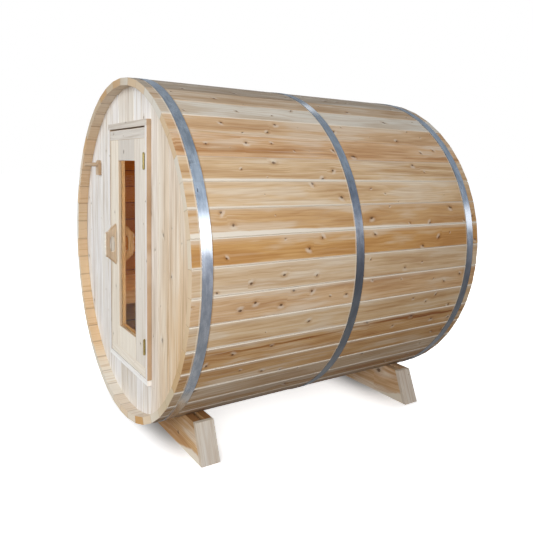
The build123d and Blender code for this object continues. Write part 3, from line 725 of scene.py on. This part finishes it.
def stave_wood():
    """Outside where the radius is past the inner face, inside where it is not, and ends where the face looks
    along the barrel."""
    material, wires, shader = new_material("stave_wood")
    at = stave_place(wires)
    grain = use_group(wires, "Plank grain", {
        "Along": at.y, "Across": at.across, "Board": at.number, "Width": stave_width,
        "Knot pitch": stave_knot_pitch, "Knot size": stave_knot_size})
    inside = wires.fall(at.radius, inner_radius + 0.006, inner_radius + 0.012, 0.95)
    colour = wires.mix(inside, stave_outside(wires, at, grain), stave_inside(wires, at, grain))
    end = wires.step(wires.math("ABSOLUTE", wires.facing()[1]), 0.6, 0.8)
    colour = wires.mix(end, colour, stave_ends(wires, at, grain))
    wood_finish(wires, shader, grain, colour)
    return material


def dress(material, names):
    """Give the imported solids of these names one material."""
    for name in names:
        nodes[name].data.materials.clear()
        nodes[name].data.materials.append(material)
    print(material.name, "on", ", ".join(names))


dress(stave_wood(), [name for name in nodes if name.startswith("staves_")])

# %% [markdown]
# ## Boards of the walls
# The end walls are upright tongued boards of the palest wood. The front has its own joints: five boards over
# and under the door, and boards of another width beside it. The joints are worked out as in the part, so
# that each board has its own tone and knots.

# %% Wall wood
front_board_width = 0.127
door_field_half = 0.310
door_field_boards = 5
first_board_width = 0.094
wall_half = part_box("rear_wall")[1].x
rear_board_count = 14
wall_knot_pitch = 0.2
wall_knot_low = 0.0012
wall_knot_high = 0.0085


def front_count(wires, x):
    """Boards counted from the left of the door's field, and anew from each side of it, 20 apart."""
    field_board = 2 * door_field_half / door_field_boards
    field = wires.over(wires.plus(x, door_field_half), field_board)
    from_middle = wires.math("ABSOLUTE", x)
    out = wires.minus(from_middle, door_field_half + first_board_width)
    side = wires.scaled(wires.math("SIGN", x), 20.0, wires.over(out, front_board_width))
    beside = wires.math("GREATER_THAN", from_middle, door_field_half)
    return wires.scaled(beside, wires.minus(side, field), field)


def wall_wood(name, front):
    """Number = whole part of the place across, counted in boards. Joints lie where its fraction is near 0 or
    1, and the face toward the cabin has the cabin's tint."""
    material, wires, shader = new_material(name)
    x, y, z = wires.place()
    if front:
        count = front_count(wires, x)
    else:
        count = wires.times(wires.plus(x, wall_half), rear_board_count / (2 * wall_half))
    from_board_middle = wires.minus(wires.math("FRACT", count), 0.5)
    grain = use_group(wires, "Plank grain", {
        "Along": z, "Across": wires.times(from_board_middle, front_board_width),
        "Board": wires.math("FLOOR", count), "Width": front_board_width, "Knot pitch": wall_knot_pitch,
        "Knot size": wires.step(z, 0.42, 0.56, wall_knot_low, wall_knot_high)})
    tone_stops = [(0.0, tones["white"]), (0.45, tones["white"]), (1.0, tones["pale"])]
    tone = wires.ramp(grain["Chance"], tone_stops)
    if front:
        warm = wires.times(wires.step(x, 0.20, 0.62), wires.step(z, 0.4, 1.6, 1.0, 0.5))
        tone = wires.mix(warm, tone, tones["warm wall"])
    colour = wood_colour(wires, grain, tone, 1.0, 1.0, 0.6, pale_shade, "smoke")
    joint = wires.step(wires.math("ABSOLUTE", from_board_middle), 0.48, 0.498, 0.0, 0.8)
    colour = wires.shade(joint, colour, tints["wall joint"])
    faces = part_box("front_wall_right" if front else "rear_wall")
    inner_face = min(abs(corner.y - barrel_middle.y) for corner in faces)
    within = wires.fall(wires.away(y, barrel_middle.y), inner_face + 0.002, inner_face + 0.006)
    colour = wires.shade(within, colour, tints["cabin wall"])
    wood_finish(wires, shader, grain, colour, roughness=0.6, bump=0.15)
    return material


dress(wall_wood("front_wall_wood", True), [name for name in nodes if name.startswith("front_wall")])
dress(wall_wood("rear_wall_wood", False), ["rear_wall"])

# %% [markdown]
# ## Single boards
# The door, its frame, the cradles, the floor and the benches are plain boards, each sawn its own way. One
# function makes their wood: it is told which axis the grain runs along, which runs across, how wide a board
# is, and the tones of the face and of the sawn edge.

# %% Plank wood
def waney_edge(wires, along, above_start, seed, width):
    """A strip of sapwood low on a board: its width is waved by noise and grows toward the board's ends."""
    wavy = wires.noise((along, 0.0, seed), (7.0, 1.0, 1.0), 3.0)
    toward_end = wires.step(wires.math("ABSOLUTE", along), 0.30, 0.62, -0.6, 2.4)
    edge_line = wires.times(wires.times(wavy, toward_end), width)
    return wires.fall(wires.minus(above_start, edge_line), -0.004, 0.010, 0.85)


def single_knot(wires, place, along, across, knot_at):
    """One knot at a chosen place: the distance from it, shorter along the grain and ragged by noise."""
    away = wires.length(wires.times(wires.minus(along, knot_at[0]), 0.7), wires.minus(across, knot_at[1]))
    away = wires.scaled(wires.noise(place, (90.0, 90.0, 90.0)), 0.012, away)
    return wires.fall(away, 0.009, 0.018, 0.8)


def plank_wood(name, along, across, board_width, face, edge, streaks=0.3, start=0.0, seed=0.0,
               knot_size=0.008, knot_pitch=0.3, edge_share=0.6, shade=warm_shade, drift=0.35, lines=0.4,
               knot_at=None, knot_tone="knot", low_sapwood=0.0):
    """Number = seed + whole part of (place across - start) / board width. Faces that look along the across
    axis get the edge tone, and faces that look along the grain get rings."""
    material, wires, shader = new_material(name)
    place = dict(zip("XYZ", wires.place()))
    facing = dict(zip("XYZ", wires.facing()))
    depth = ({"X", "Y", "Z"} - {along, across}).pop()
    above_start = wires.minus(place[across], start)
    count = wires.over(above_start, board_width)
    number = wires.plus(wires.math("FLOOR", count), seed)
    middle = wires.times(wires.minus(wires.math("FRACT", count), 0.5), board_width)
    grain = use_group(wires, "Plank grain", {
        "Along": place[along], "Across": middle, "Board": number, "Width": board_width,
        "Knot pitch": knot_pitch, "Knot size": knot_size})
    tone = wires.mix(wires.step(grain["Chance"], 0.0, 1.0, 0.0, 0.12), tones[face], tones[edge])
    side = wires.step(wires.math("ABSOLUTE", facing[across]), 0.6, 0.8, 0.0, edge_share)
    tone = wires.mix(side, tone, tones[edge])
    colour = wood_colour(wires, grain, tone, streaks, lines, drift, shade, knot_tone)
    if low_sapwood:
        strip = waney_edge(wires, place[along], above_start, seed, low_sapwood)
        colour = wires.mix(strip, colour, tones["end"])
    if knot_at:
        knot = single_knot(wires, place.values(), place[along], place[across], knot_at)
        colour = wires.mix(knot, colour, tones[knot_tone])
    ring = use_group(wires, "End grain", {"Across": middle, "Up": place[depth], "Board": number})["Ring"]
    end_tone = wires.shade(wires.times(ring, 0.35), tones[edge], tints["end ring"])
    end = wires.step(wires.math("ABSOLUTE", facing[along]), 0.6, 0.8)
    wood_finish(wires, shader, grain, wires.mix(end, colour, end_tone), bump=0.18)
    return material


# %% [markdown]
# ## A table of boards
# Each row names a piece, the axes along and across its grain, the tones of its face and edge, a number that
# makes its grain its own, and how many boards lie side by side in it. What a kind of board has in common,
# such as few knots in a door or waney edges on a cradle, is written once.

# %% Boards
pale_boards = {"streaks": 0.55, "lines": 0.6, "shade": pale_shade, "knot_size": 0.005, "knot_tone": "smoke"}
plain_boards = {"streaks": 0.1, "lines": 0.25, "shade": pale_shade, "knot_size": 0.002, "drift": 0.15}
cradle_boards = {"streaks": 1.0, "knot_size": 0.014, "knot_pitch": 0.2, "drift": 1.0, "low_sapwood": 0.035}
boards = [
    # On the jambs the edge tone of the side faces is partly edge grain and partly painted shade.
    ("frame_left_jamb", "Z", "X", "white", "jamb", 41, 1, {**pale_boards, "edge_share": 0.9}),
    ("frame_right_jamb", "Z", "X", "white", "jamb", 42, 1, {**pale_boards, "edge_share": 0.9}),
    ("frame_head", "X", "Z", "stone", "brown", 43, 1, {**pale_boards, "knot_at": (0.0, 1.669)}),
    # The sill's near-white tone is partly its own and partly painted light falling from above on its ledge.
    ("frame_sill", "X", "Z", "chalk", "chalk", 44, 1, plain_boards),
    ("door_left_stile", "Z", "X", "ivory", "tan", 51, 1, {**pale_boards, "edge_share": 0.8}),
    ("door_right_stile", "Z", "X", "pale", "tan", 52, 1, {**pale_boards, "edge_share": 0.8}),
    ("door_top_rail", "X", "Z", "stone", "tan", 53, 1, pale_boards),
    ("door_bottom_rail", "X", "Z", "ivory", "tan", 54, 1, plain_boards),
    ("door_upper_panel", "Z", "X", "stone", "tan", 55, 1, {**pale_boards, "knot_at": (1.509, -0.04)}),
    ("door_lower_panel", "Z", "X", "ivory", "tan", 56, 1, plain_boards),
    ("wall_peg", "Z", "X", "taupe", "brown", 57, 1, {}),
    ("cradle_front", "X", "Z", "amber", "brown", 61, 1, {**cradle_boards, "knot_at": (0.385, 0.062)}),
    ("cradle_rear", "X", "Z", "honey", "brown", 67, 1, cradle_boards),
    ("bench_right_fascia", "Y", "Z", "tan", "honey", 71, 1, {}),
    ("bench_left_fascia", "Y", "Z", "beige", "honey", 72, 1, {}),
    ("cradle_ends", "Z", "Y", "stone", "cream", 81, 16, {"streaks": 0.35}),
    ("floor_boards", "Y", "X", "stone", "beige", 101, 8, {}),
    ("floor_sleepers", "X", "Z", "grey", "brown", 121, 1, {}),
    ("bench_right_slats", "Y", "X", "honey", "orange", 131, 5, {}),
    ("bench_left_slats", "Y", "X", "honey", "orange", 141, 5, {}),
    ("bench_bearers", "X", "Z", "tan", "orange", 151, 1, {}),
    ("bench_legs", "Z", "X", "tan", "orange", 161, 20, {}),
]
for name, along, across, face, edge, seed, count, more in boards:
    low, high = (corner["XYZ".index(across)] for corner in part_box(name))
    board_width = (high - low) / count
    wood = plank_wood(name + "_wood", along, across, board_width, face, edge, start=low, seed=seed, **more)
    dress(wood, [name])
handle_wood = plank_wood("handle_wood", "Z", "Y", 0.09, "taupe", "ivory", streaks=0.5, start=-0.95, seed=171,
                         edge_share=0.8, shade=pale_shade, knot_size=0.002)
dress(handle_wood, ["handle_outside", "handle_inside"])

# %% [markdown]
# ## Steel of the bands
# The bands are galvanised strip: brushed along its length, with faint cloudy spangle. A slot is punched by
# each lap. The front band gets a painted lighter reflection above the axis, the others a painted darker one,
# most of all below the axis, the middle band a painted dark reflection patch at its right side, and all three
# painted shade under the barrel.

# %% Band steel
slot_angle = math.radians(66.5)
slot_from_middle = -0.012
# The angle round the axis where the middle band's painted dark reflection patch lies.
dark_patch_angle = 1.40
front_band_end = -0.6
other_bands_start = -0.2
spangle_dark = srgb(176, 182, 190)
spangle_light = srgb(208, 212, 218)
brushed_dark = srgb(142, 149, 158)
slot_dark = srgb(52, 54, 58)
# Tone of a painted darker reflection, and tints for a painted dark reflection patch, a painted lighter
# reflection and painted shade under the barrel.
dark_reflection_steel = srgb(64, 64, 66)
steel_tints = {"patch": (0.62, 0.62, 0.64, 1), "painted_light_reflection": (1.28, 1.28, 1.28, 1), "underside_shade": (0.72, 0.70, 0.66, 1)}


def punched_slots(wires, y, arc):
    """1 in a slot: near its line across the band, times near its place round the barrel."""
    around = wires.fall(wires.away(arc, slot_angle * barrel_radius), 0.007, 0.010, 0.6)
    slots = 0.0
    for middle_y in band_middles.values():
        aside = wires.fall(wires.away(y, middle_y + slot_from_middle), 0.0018, 0.003)
        slots = wires.math("MAXIMUM", slots, wires.times(aside, around))
    return slots


def band_steel():
    """Brushed lines run round the barrel: noise with many bumps along Y and few along the arc. Masks by place
    along the barrel and by height paint darker and lighter reflections, and shade under the barrel, into the
    tone."""
    material, wires, shader = new_material("band_steel")
    x, y, z = wires.place()
    up = wires.minus(z, axis_height)
    angle = wires.math("ARCTAN2", x, up)
    arc = wires.times(angle, barrel_radius)
    brushed = wires.noise((y, arc, 0.0), (700.0, 5.0, 1.0), 3.0)
    cloud = wires.noise((y, arc, 3.0), (30.0, 14.0, 1.0), 3.0)
    tone = wires.mix(wires.step(cloud, 0.3, 0.7), spangle_dark, spangle_light)
    tone = wires.mix(wires.step(brushed, 0.3, 0.7, 0.0, 0.25), tone, brushed_dark)
    tone = wires.mix(punched_slots(wires, y, arc), tone, slot_dark)
    # Painted darker reflection on the middle and rear bands, most below the axis.
    painted_dark_reflection = wires.times(wires.step(y, front_band_end, other_bands_start),
                         wires.step(up, -0.15, 0.20, 0.68, 0.25))
    tone = wires.mix(painted_dark_reflection, tone, dark_reflection_steel)
    # Painted dark reflection patch on the middle band's right side.
    patch = wires.times(wires.math("COMPARE", y, barrel_middle.y, 0.1),
                        wires.fall(wires.away(angle, dark_patch_angle), 0.2, 0.4))
    tone = wires.shade(patch, tone, steel_tints["patch"])
    # Painted lighter reflection on the front band above the axis.
    painted_light_reflection = wires.times(wires.fall(y, front_band_end, other_bands_start), wires.step(up, -0.10, 0.15))
    tone = wires.shade(painted_light_reflection, tone, steel_tints["painted_light_reflection"])
    # Painted shade under the barrel on all three bands.
    tone = wires.shade(wires.fall(up, -0.80, -0.60), tone, steel_tints["underside_shade"])
    wires.put(shader["Base Color"], tone)
    wires.put(shader["Roughness"], wires.step(cloud, 0.25, 0.75, 0.16, 0.26))
    shader["Metallic"].default_value = 1.0
    shader["Anisotropic"].default_value = 0.4
    relief = wires.node("Bump", {"Strength": 0.08, "Distance": 0.0004, "Height": brushed})
    wires.put(shader["Normal"], relief.outputs[0])
    return material


steel = band_steel()
dress(steel, list(band_boxes))

# %% [markdown]
# ## Bolts, hinges and glass
# The bolts are zinc plated and the hinges are satin brass: both are plain metal with a faint cloud in the
# polish, so the cloud is a group. The pane is bronze glass, which colours all that is seen through it.

# %% Plain metals and glass
def satin_cloud_group():
    """Soft noise with so many bumps to a metre: the metal is duller where less of the polish is left."""
    wires, given, made = new_group("Satin cloud", {"X": 0.0, "Y": 0.0, "Z": 0.0, "Bumps": 100.0}, ["Cloud"])
    bumps = wires.join(given["Bumps"], given["Bumps"], given["Bumps"])
    wires.put(made["Cloud"], wires.noise((given["X"], given["Y"], given["Z"]), bumps, 4.0, 0.6))


satin_cloud_group()


def plain_metal(name, light, dark, roughness, bumps, metallic=1.0):
    """Satin metal: two close tones and two roughnesses, mixed by the cloud."""
    material, wires, shader = new_material(name)
    x, y, z = wires.place()
    cloud = use_group(wires, "Satin cloud", {"X": x, "Y": y, "Z": z, "Bumps": bumps})["Cloud"]
    wires.put(shader["Base Color"], wires.mix(wires.step(cloud, 0.3, 0.7), dark, light))
    wires.put(shader["Roughness"], wires.step(cloud, 0.2, 0.8, roughness, roughness + 0.15))
    shader["Metallic"].default_value = metallic
    return material


def bronze_glass(clear, dusty):
    """Clear bronze: light is coloured as it passes, with a breath of dust in the roughness."""
    material, wires, shader = new_material("bronze_glass")
    x, y, z = wires.place()
    dust = wires.noise((x, 0.0, z), (9.0, 9.0, 9.0), 4.0)
    wires.put(shader["Roughness"], wires.step(dust, 0.3, 0.8, 0.0, 0.02))
    wires.put(shader["Base Color"], wires.mix(wires.step(dust, 0.3, 0.8, 0.0, 0.12), clear, dusty))
    shader["Transmission Weight"].default_value = 1.0
    shader["IOR"].default_value = 1.05
    return material


bolt_steel = plain_metal("bolt_steel", srgb(190, 192, 194), srgb(150, 152, 156), roughness=0.3, bumps=120.0)
brass = plain_metal("hinge_brass", srgb(172, 158, 104), srgb(128, 113, 62), roughness=0.28, bumps=160.0,
                    metallic=0.6)
dress(brass, ["hinge_frame_leaves", "hinge_door_leaves"])
dress(bronze_glass(srgb(246, 234, 214), srgb(238, 228, 212)), ["door_glass"])

# %% [markdown]
# ## Light inside
# A warm lamp hangs under the top staves, so the cabin glows amber through the pane. Glass stops the studio's
# lamps in this renderer, so the daylight that falls in through the door is a small lamp of its own.

# %% Light inside
inside_lamp = softbox("inside_lamp", place=(0.0, 0.2, 1.70), size=0.5, power=9.0, colour=(1.0, 0.69, 0.32))
daylight_place = (0.12, -0.70, 0.62)
daylight_aim = Vector((-0.42, 0.35, -0.37))
daylight = softbox("daylight", place=daylight_place, size=0.25, power=0.45, colour=(1.0, 0.93, 0.85))
daylight.matrix_world = facing_matrix(Vector(daylight_place), daylight_aim)
daylight.data.spread = math.radians(75)
for lamp in (inside_lamp, daylight):
    lamp.visible_camera = False
    lamp.visible_glossy = False
    lamp.visible_transmission = False
print("lamps inside:", inside_lamp.name, daylight.name)

# %% [markdown]
# ## Surfaces from arrays
# The pieces that a maker fits last are modelled here as surfaces over two parameters: one runs along the
# piece and one round its section. Whole arrays of points are worked out at once and handed to Blender as a
# mesh.

# %% Helper: a skin over grids of points
merge_distance = 1e-6
sharp_angle = math.radians(35)


def grid_faces(rows, columns, start, wrap):
    """Quads between points next to each other, in rows that close on themselves. The rows close into a loop
    if wrap is set, and otherwise the first and the last row are capped."""
    row, column = np.meshgrid(np.arange(rows if wrap else rows - 1), np.arange(columns), indexing="ij")
    next_row = (row + 1) % rows
    next_column = (column + 1) % columns
    quads = np.stack([row * columns + column, row * columns + next_column,
                      next_row * columns + next_column, next_row * columns + column], axis=-1)
    faces = (quads.reshape(-1, 4) + start).tolist()
    if not wrap:
        cap = np.arange(columns) + start
        faces += [cap.tolist(), (cap + (rows - 1) * columns).tolist()]
    return faces


def skin(name, grids, material, body, wrap=False):
    """One mesh over grids that hold rows of points round a section, merged and turned outward. It rides a
    body and carries the slot of its finish."""
    faces = []
    start = 0
    for grid in grids:
        rows, columns = grid.shape[:2]
        faces += grid_faces(rows, columns, start, wrap)
        start += rows * columns
    corners = np.concatenate([grid.reshape(-1, 3) for grid in grids])
    mesh = bpy.data.meshes.new(name)
    mesh.from_pydata(corners.tolist(), [], faces)
    work = bmesh.new()
    work.from_mesh(mesh)
    bmesh.ops.remove_doubles(work, verts=work.verts, dist=merge_distance)
    bmesh.ops.dissolve_degenerate(work, edges=work.edges, dist=merge_distance)
    bmesh.ops.recalc_face_normals(work, faces=work.faces)
    work.to_mesh(mesh)
    work.free()
    mesh.polygons.foreach_set("use_smooth", np.ones(len(mesh.polygons), dtype=bool))
    mesh.set_sharp_from_angle(angle=sharp_angle)
    mesh.materials.append(material)
    piece = bpy.data.objects.new(name, mesh)
    bpy.context.scene.collection.objects.link(piece)
    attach(piece, body)
    print(name, "faces:", len(mesh.polygons), "rides", body)
    return piece


# %% [markdown]
# ## Bands
# A band is a steel strip bent round the barrel, with both ends turned outward into ears that a bolt draws
# together under the left side. The strip touches the staves at their corners and runs smoothly between
# them, so it is a section carried along an arc with a small bend at each end.

# %% Bands
band_width = 0.051
band_thickness = 0.0015
band_ease = 0.0004
ear_thickness = 0.004
ear_height = 0.032
ear_place = 0.0265
ear_bend = 0.006
mouth_stave = 30
mouth_angle = stave_turn + (mouth_stave + 0.5) * stave_angle
corner_radius = barrel_radius / math.cos(stave_angle / 2)
mouth_out = np.array([math.sin(mouth_angle), 0.0, math.cos(mouth_angle)])
mouth_along = np.array([math.cos(mouth_angle), 0.0, -math.sin(mouth_angle)])


def band_strip(middle_y):
    """The centre line is an ear, a quarter bend, an arc once round, a bend and an ear, each a formula of an
    angle or a height. At each point the section, a flat bar with eased edges, lies square to the line."""
    ring = corner_radius + band_thickness / 2
    start = math.asin((ear_place + ear_bend) / ring)
    rise = np.linspace(ear_height, ear_bend, 5)
    ear = np.stack([np.full_like(rise, ear_place), ring + rise], axis=1)
    bend = np.linspace(math.pi, 1.5 * math.pi, 7)[1:-1]
    bend_middle = np.array([ear_place + ear_bend, ring + ear_bend])
    corner = bend_middle + ear_bend * np.stack([np.cos(bend), np.sin(bend)], axis=1)
    round_angle = np.linspace(start, 2 * math.pi - start, 4 * stave_count)
    arc = np.stack([ring * np.sin(round_angle), ring * np.cos(round_angle)], axis=1)
    first_end = np.concatenate([ear, corner])
    line = np.concatenate([first_end, arc, (first_end * [-1, 1])[::-1]])
    step = np.gradient(line, axis=0)
    step /= np.linalg.norm(step, axis=1, keepdims=True)
    square = np.stack([-step[:, 1], step[:, 0]], axis=1)
    place = np.arange(len(line))
    from_end = np.minimum(place, len(line) - 1 - place)
    thick = np.where(from_end < len(ear), ear_thickness, band_thickness)
    wide = band_width / 2 - band_ease * np.array([0, 1, 1, 0, 0, 1, 1, 0])
    wide *= np.array([1, 1, -1, -1, -1, -1, 1, 1])
    high = np.array([0.3, 0.5, 0.5, 0.3, -0.3, -0.5, -0.5, -0.3])
    flat = line[:, None, :] + square[:, None, :] * (thick[:, None] * high[None, :])[:, :, None]
    points = flat[..., :1] * mouth_along + flat[..., 1:] * mouth_out
    points[..., 1] = middle_y + wide
    points[..., 2] += axis_height
    return points


for name, middle_y in band_middles.items():
    strip = skin(name + "_strip", [band_strip(middle_y)], steel, "cabin")
    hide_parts(name)

# %% [markdown]
# ## Laps of the bands
# Each band is joined from two strips high on the right side, where one end laps over the other and hooks
# into a punched slot. The lap is a short strip that lies on the band, with its end edge rounded over.

# %% Laps
lap_start = math.radians(57.5)
lap_end = math.radians(64.0)
lap_thickness = 0.0013
lap_inset = 0.0006
lap_sunk = 0.0002
lap_nose = 0.0006


def band_lap(middle_y):
    """Rows follow the arc from the lap's start to its end. In each the section is a flat bar that sinks into
    the band at the start and stands on it at the end: height = thickness times a rise."""
    angle = np.concatenate([np.linspace(lap_start, lap_end, 14), [lap_end + lap_nose]])
    rise = np.clip((angle - lap_start) / (lap_end - lap_start) * 3, 0, 1)
    rise[-1] = 0.4
    wide = np.array([1.0, 0.985, -0.985, -1.0, -1.0, 1.0]) * (band_width / 2 - lap_inset)
    high = np.array([0.6, 1.0, 1.0, 0.6, 0.0, 0.0])
    reach = corner_radius + band_thickness - lap_sunk + lap_thickness * rise[:, None] * high
    x = reach * np.sin(angle)[:, None]
    z = axis_height + reach * np.cos(angle)[:, None]
    y = middle_y + np.broadcast_to(wide, reach.shape)
    return np.stack([x, y, z], axis=-1)


skin("band_laps", [band_lap(middle_y) for middle_y in band_middles.values()], steel, "cabin")

# %% [markdown]
# ## Band bolts
# A bolt with washers and a nut draws the two ears of each band together. On the real barrel it is tightened
# again as the wood dries. It is a bar with one profile, turned where it is round, and six-sided at its head
# and nut.

# %% Band bolts
ear_outside = ear_place + ear_thickness / 2
washer = 0.0016
washer_radius = 0.0105
nut_flat = 0.0085
nut_height = 0.0075
nut_crown = 0.0070
shank = 0.005
shank_tip = 0.004
bolt_ease = 0.001
head_end = -ear_outside - washer - nut_height
nut_end = ear_outside + washer + nut_height
tail_end = nut_end + 0.010
bolt_out = corner_radius + 0.6 * ear_height
# Place along the bolt, radius, and 1 where it is six-sided.
bolt_profile = [(head_end, 0.0, 0), (head_end, nut_crown, 0), (head_end + bolt_ease, nut_flat, 1),
                (-ear_outside - washer, nut_flat, 1), (-ear_outside - washer, washer_radius, 0),
                (-ear_outside, washer_radius, 0), (-ear_outside, shank, 0), (ear_outside, shank, 0),
                (ear_outside, washer_radius, 0), (ear_outside + washer, washer_radius, 0),
                (ear_outside + washer, nut_flat, 1), (nut_end - bolt_ease, nut_flat, 1),
                (nut_end, nut_crown, 0), (nut_end, shank, 0), (tail_end - bolt_ease, shank, 0),
                (tail_end, shank_tip, 0), (tail_end, 0.0, 0)]


def turned_bar(profile, base, axis, across):
    """Rows of a turned or six-sided bar. At each angle the radius is round, or the flat's distance / cos of
    the angle from the nearest flat. The profile gives place along the axis, radius and 1 for six-sided."""
    profile = np.array(profile)
    angle = np.linspace(0, 2 * math.pi, 24, endpoint=False)
    fold = (angle + math.pi / 6) % (math.pi / 3) - math.pi / 6
    radius = profile[:, 1:2] * (1 - profile[:, 2:3] + profile[:, 2:3] / np.cos(fold))
    axis = np.array(axis)
    side = np.array(across)
    other = np.cross(axis, side)
    ring = np.cos(angle)[:, None] * side + np.sin(angle)[:, None] * other
    return np.array(base) + profile[:, :1, None] * axis + radius[:, :, None] * ring


bolts = [turned_bar(bolt_profile, mouth_out * bolt_out + [0, middle_y, axis_height], mouth_along, (0, 1, 0))
         for middle_y in band_middles.values()]
skin("band_bolts", bolts, bolt_steel, "cabin")

# %% [markdown]
# ## Handles
# Each grip is cut from the waney edge of a board: a slab with a finger slot, thick at the door and bowed
# outward, whose outer edge keeps the waves of the log. It is a ring round the slot, with a rounded section.

# %% Handles
handle_low, handle_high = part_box("handle_outside")
handle_x = (handle_low.x + handle_high.x) / 2
handle_z = (handle_low.z + handle_high.z) / 2
handle_thickness = 0.025
handle_length = 0.243
handle_grip = 0.125
handle_reach = 0.066
slot_long = 0.044
slot_deep = 0.012
slot_from_door = 0.023
handle_lean = math.atan2(handle_reach, (handle_length - handle_grip) / 2)
handle_slant = (handle_length / 2) * math.sin(handle_lean) - slot_from_door * math.cos(handle_lean)
corner_softness = 26.0
section_squareness = 0.42
leaf_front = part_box("door_left_stile")[0].y
leaf_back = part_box("door_left_stile")[1].y


def squared_off(wave):
    """A wave with its rounds pushed out: its sign times its size to a small power."""
    return np.sign(wave) * np.abs(wave) ** section_squareness


def live_edge_handle(door_y, out):
    """Round the slot's middle, the outer edge is the nearest of the four sides of the slab, as side distance
    / cos of the angle to it, joined softly and waved. The inner edge is a rounded slot. The section goes from
    one to the other as a squared-off circle."""
    angle = np.linspace(0, 2 * math.pi, 144, endpoint=False)
    sides = np.array([[0.0, handle_reach - slot_from_door], [math.pi, slot_from_door],
                      [handle_lean, handle_slant], [-handle_lean, handle_slant]])
    inward = np.maximum(np.cos(angle[:, None] - sides[None, :, 0]), 1e-3) / sides[None, :, 1]
    outer = np.sum(inward ** corner_softness, axis=1) ** (-1 / corner_softness)
    bowed = np.clip(np.cos(angle) + 0.55, 0, 1)
    waves = 0.030 * np.sin(9 * angle + 0.6 * out) + 0.022 * np.sin(17 * angle + 1.3) - 0.035
    outer *= 1 + bowed * waves
    inner = ((np.abs(np.cos(angle)) / slot_deep) ** 3 + (np.abs(np.sin(angle)) / slot_long) ** 3) ** (-1 / 3)
    round_section = np.linspace(0, 2 * math.pi, 20, endpoint=False)
    across = squared_off(np.cos(round_section))
    thick = squared_off(np.sin(round_section)) * handle_thickness / 2
    reach = inner[:, None] + (outer - inner)[:, None] * (across / 2 + 0.5)
    y = door_y + out * (slot_from_door + reach * np.cos(angle)[:, None])
    z = handle_z + reach * np.sin(angle)[:, None]
    x = handle_x + np.broadcast_to(thick, reach.shape)
    return np.stack([x, y, z], axis=-1)


def bark_edge(material):
    """A brown line of bark along the slanted sides and a painted highlight on the outer edge: the slanted
    distance and the distance out from the slot, each as a share of its side's distance, are 1 at the edge of
    the slab."""
    wires = Wiring(material.node_tree)
    base_colour = material.node_tree.nodes["Principled BSDF"].inputs["Base Color"]
    x, y, z = wires.place()
    from_leaf = wires.away(y, (leaf_front + leaf_back) / 2)
    out = wires.minus(from_leaf, (leaf_back - leaf_front) / 2 + slot_from_door)
    slanted = wires.scaled(wires.away(z, handle_z), math.sin(handle_lean) / handle_slant,
                           wires.times(out, math.cos(handle_lean) / handle_slant))
    ragged = wires.noise((x, y, z), (70.0, 70.0, 70.0))
    bark = wires.step(wires.scaled(ragged, 0.2, slanted), 0.95, 1.06, 0.0, 0.6)
    colour = wires.mix(bark, base_colour.links[0].from_socket, tones["bark"])
    # Painted highlight along the outer edge of the slab.
    outer_edge_highlight = wires.step(wires.over(out, handle_reach - slot_from_door), 0.80, 0.95)
    wires.put(base_colour, wires.mix(outer_edge_highlight, colour, tones["outer_edge_highlight"]))


bark_edge(handle_wood)
for name, door_y, out in (("handle_outside", leaf_front, -1), ("handle_inside", leaf_back, 1)):
    rings = live_edge_handle(door_y, out)
    grip = skin(name + "_grip", [rings], handle_wood, "door", wrap=True)
    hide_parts(name)

# %% [markdown]
# ## Tips of the hinge pins
# Each hinge pin ends in a small rounded tip above and below the knuckle, which keeps it from sliding out. A
# tip is a turned shape, so the bar of the bolts serves with a profile of its own.

# %% Hinge tips
hinge_low, hinge_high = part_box("hinge_frame_leaves")
knuckle_radius = 0.0055
hinge_length = 0.076
hinge_x = 0.2815
hinge_y = hinge_low.y + knuckle_radius
tip_profile = [(0.0, 0.0, 0), (0.0, 0.0040, 0), (0.0012, 0.0048, 0), (0.0030, 0.0044, 0), (0.0046, 0.0028, 0),
               (0.0052, 0.0, 0)]
hinge_ends = [(hinge_high.z, 1), (hinge_high.z - hinge_length, -1),
              (hinge_low.z + hinge_length, 1), (hinge_low.z, -1)]
tips = [turned_bar(tip_profile, (hinge_x, hinge_y, hinge_end), (0, 0, way), (1, 0, 0))
        for hinge_end, way in hinge_ends]
skin("hinge_tips", tips, brass, "cabin")

# %% [markdown]
# ## Screws
# Screws hold the slats of the benches and the boards of the floor to the bearers and sleepers under them. One
# head stands where the middle of each board crosses the middle of each support, so the places are a grid.

# %% Screws
screw_profile = [(0.0, 0.0, 0), (0.0, 0.0040, 0), (0.0005, 0.0038, 0), (0.0009, 0.0022, 0), (0.0009, 0.0, 0)]
board_gap = 0.010
bearer_width = 0.045
sleeper_width = 0.038
support_count = 3


def board_screws(row, board_count, supports, support_width):
    """Screw heads on top of a row of boards, over the middle of each support."""
    low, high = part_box(row)
    under_low, under_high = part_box(supports)
    width = (high.x - low.x - board_gap * (board_count - 1)) / board_count
    across = low.x + width / 2 + np.arange(board_count) * (width + board_gap)
    along = np.linspace(under_low.y + support_width / 2, under_high.y - support_width / 2, support_count)
    return [turned_bar(screw_profile, (x, y, high.z), (0, 0, 1), (1, 0, 0)) for x in across for y in along]


screws = board_screws("bench_right_slats", 5, "bench_bearers", bearer_width)
screws += board_screws("bench_left_slats", 5, "bench_bearers", bearer_width)
screws += board_screws("floor_boards", 8, "floor_sleepers", sleeper_width)
skin("board_screws", screws, bolt_steel, "cabin")
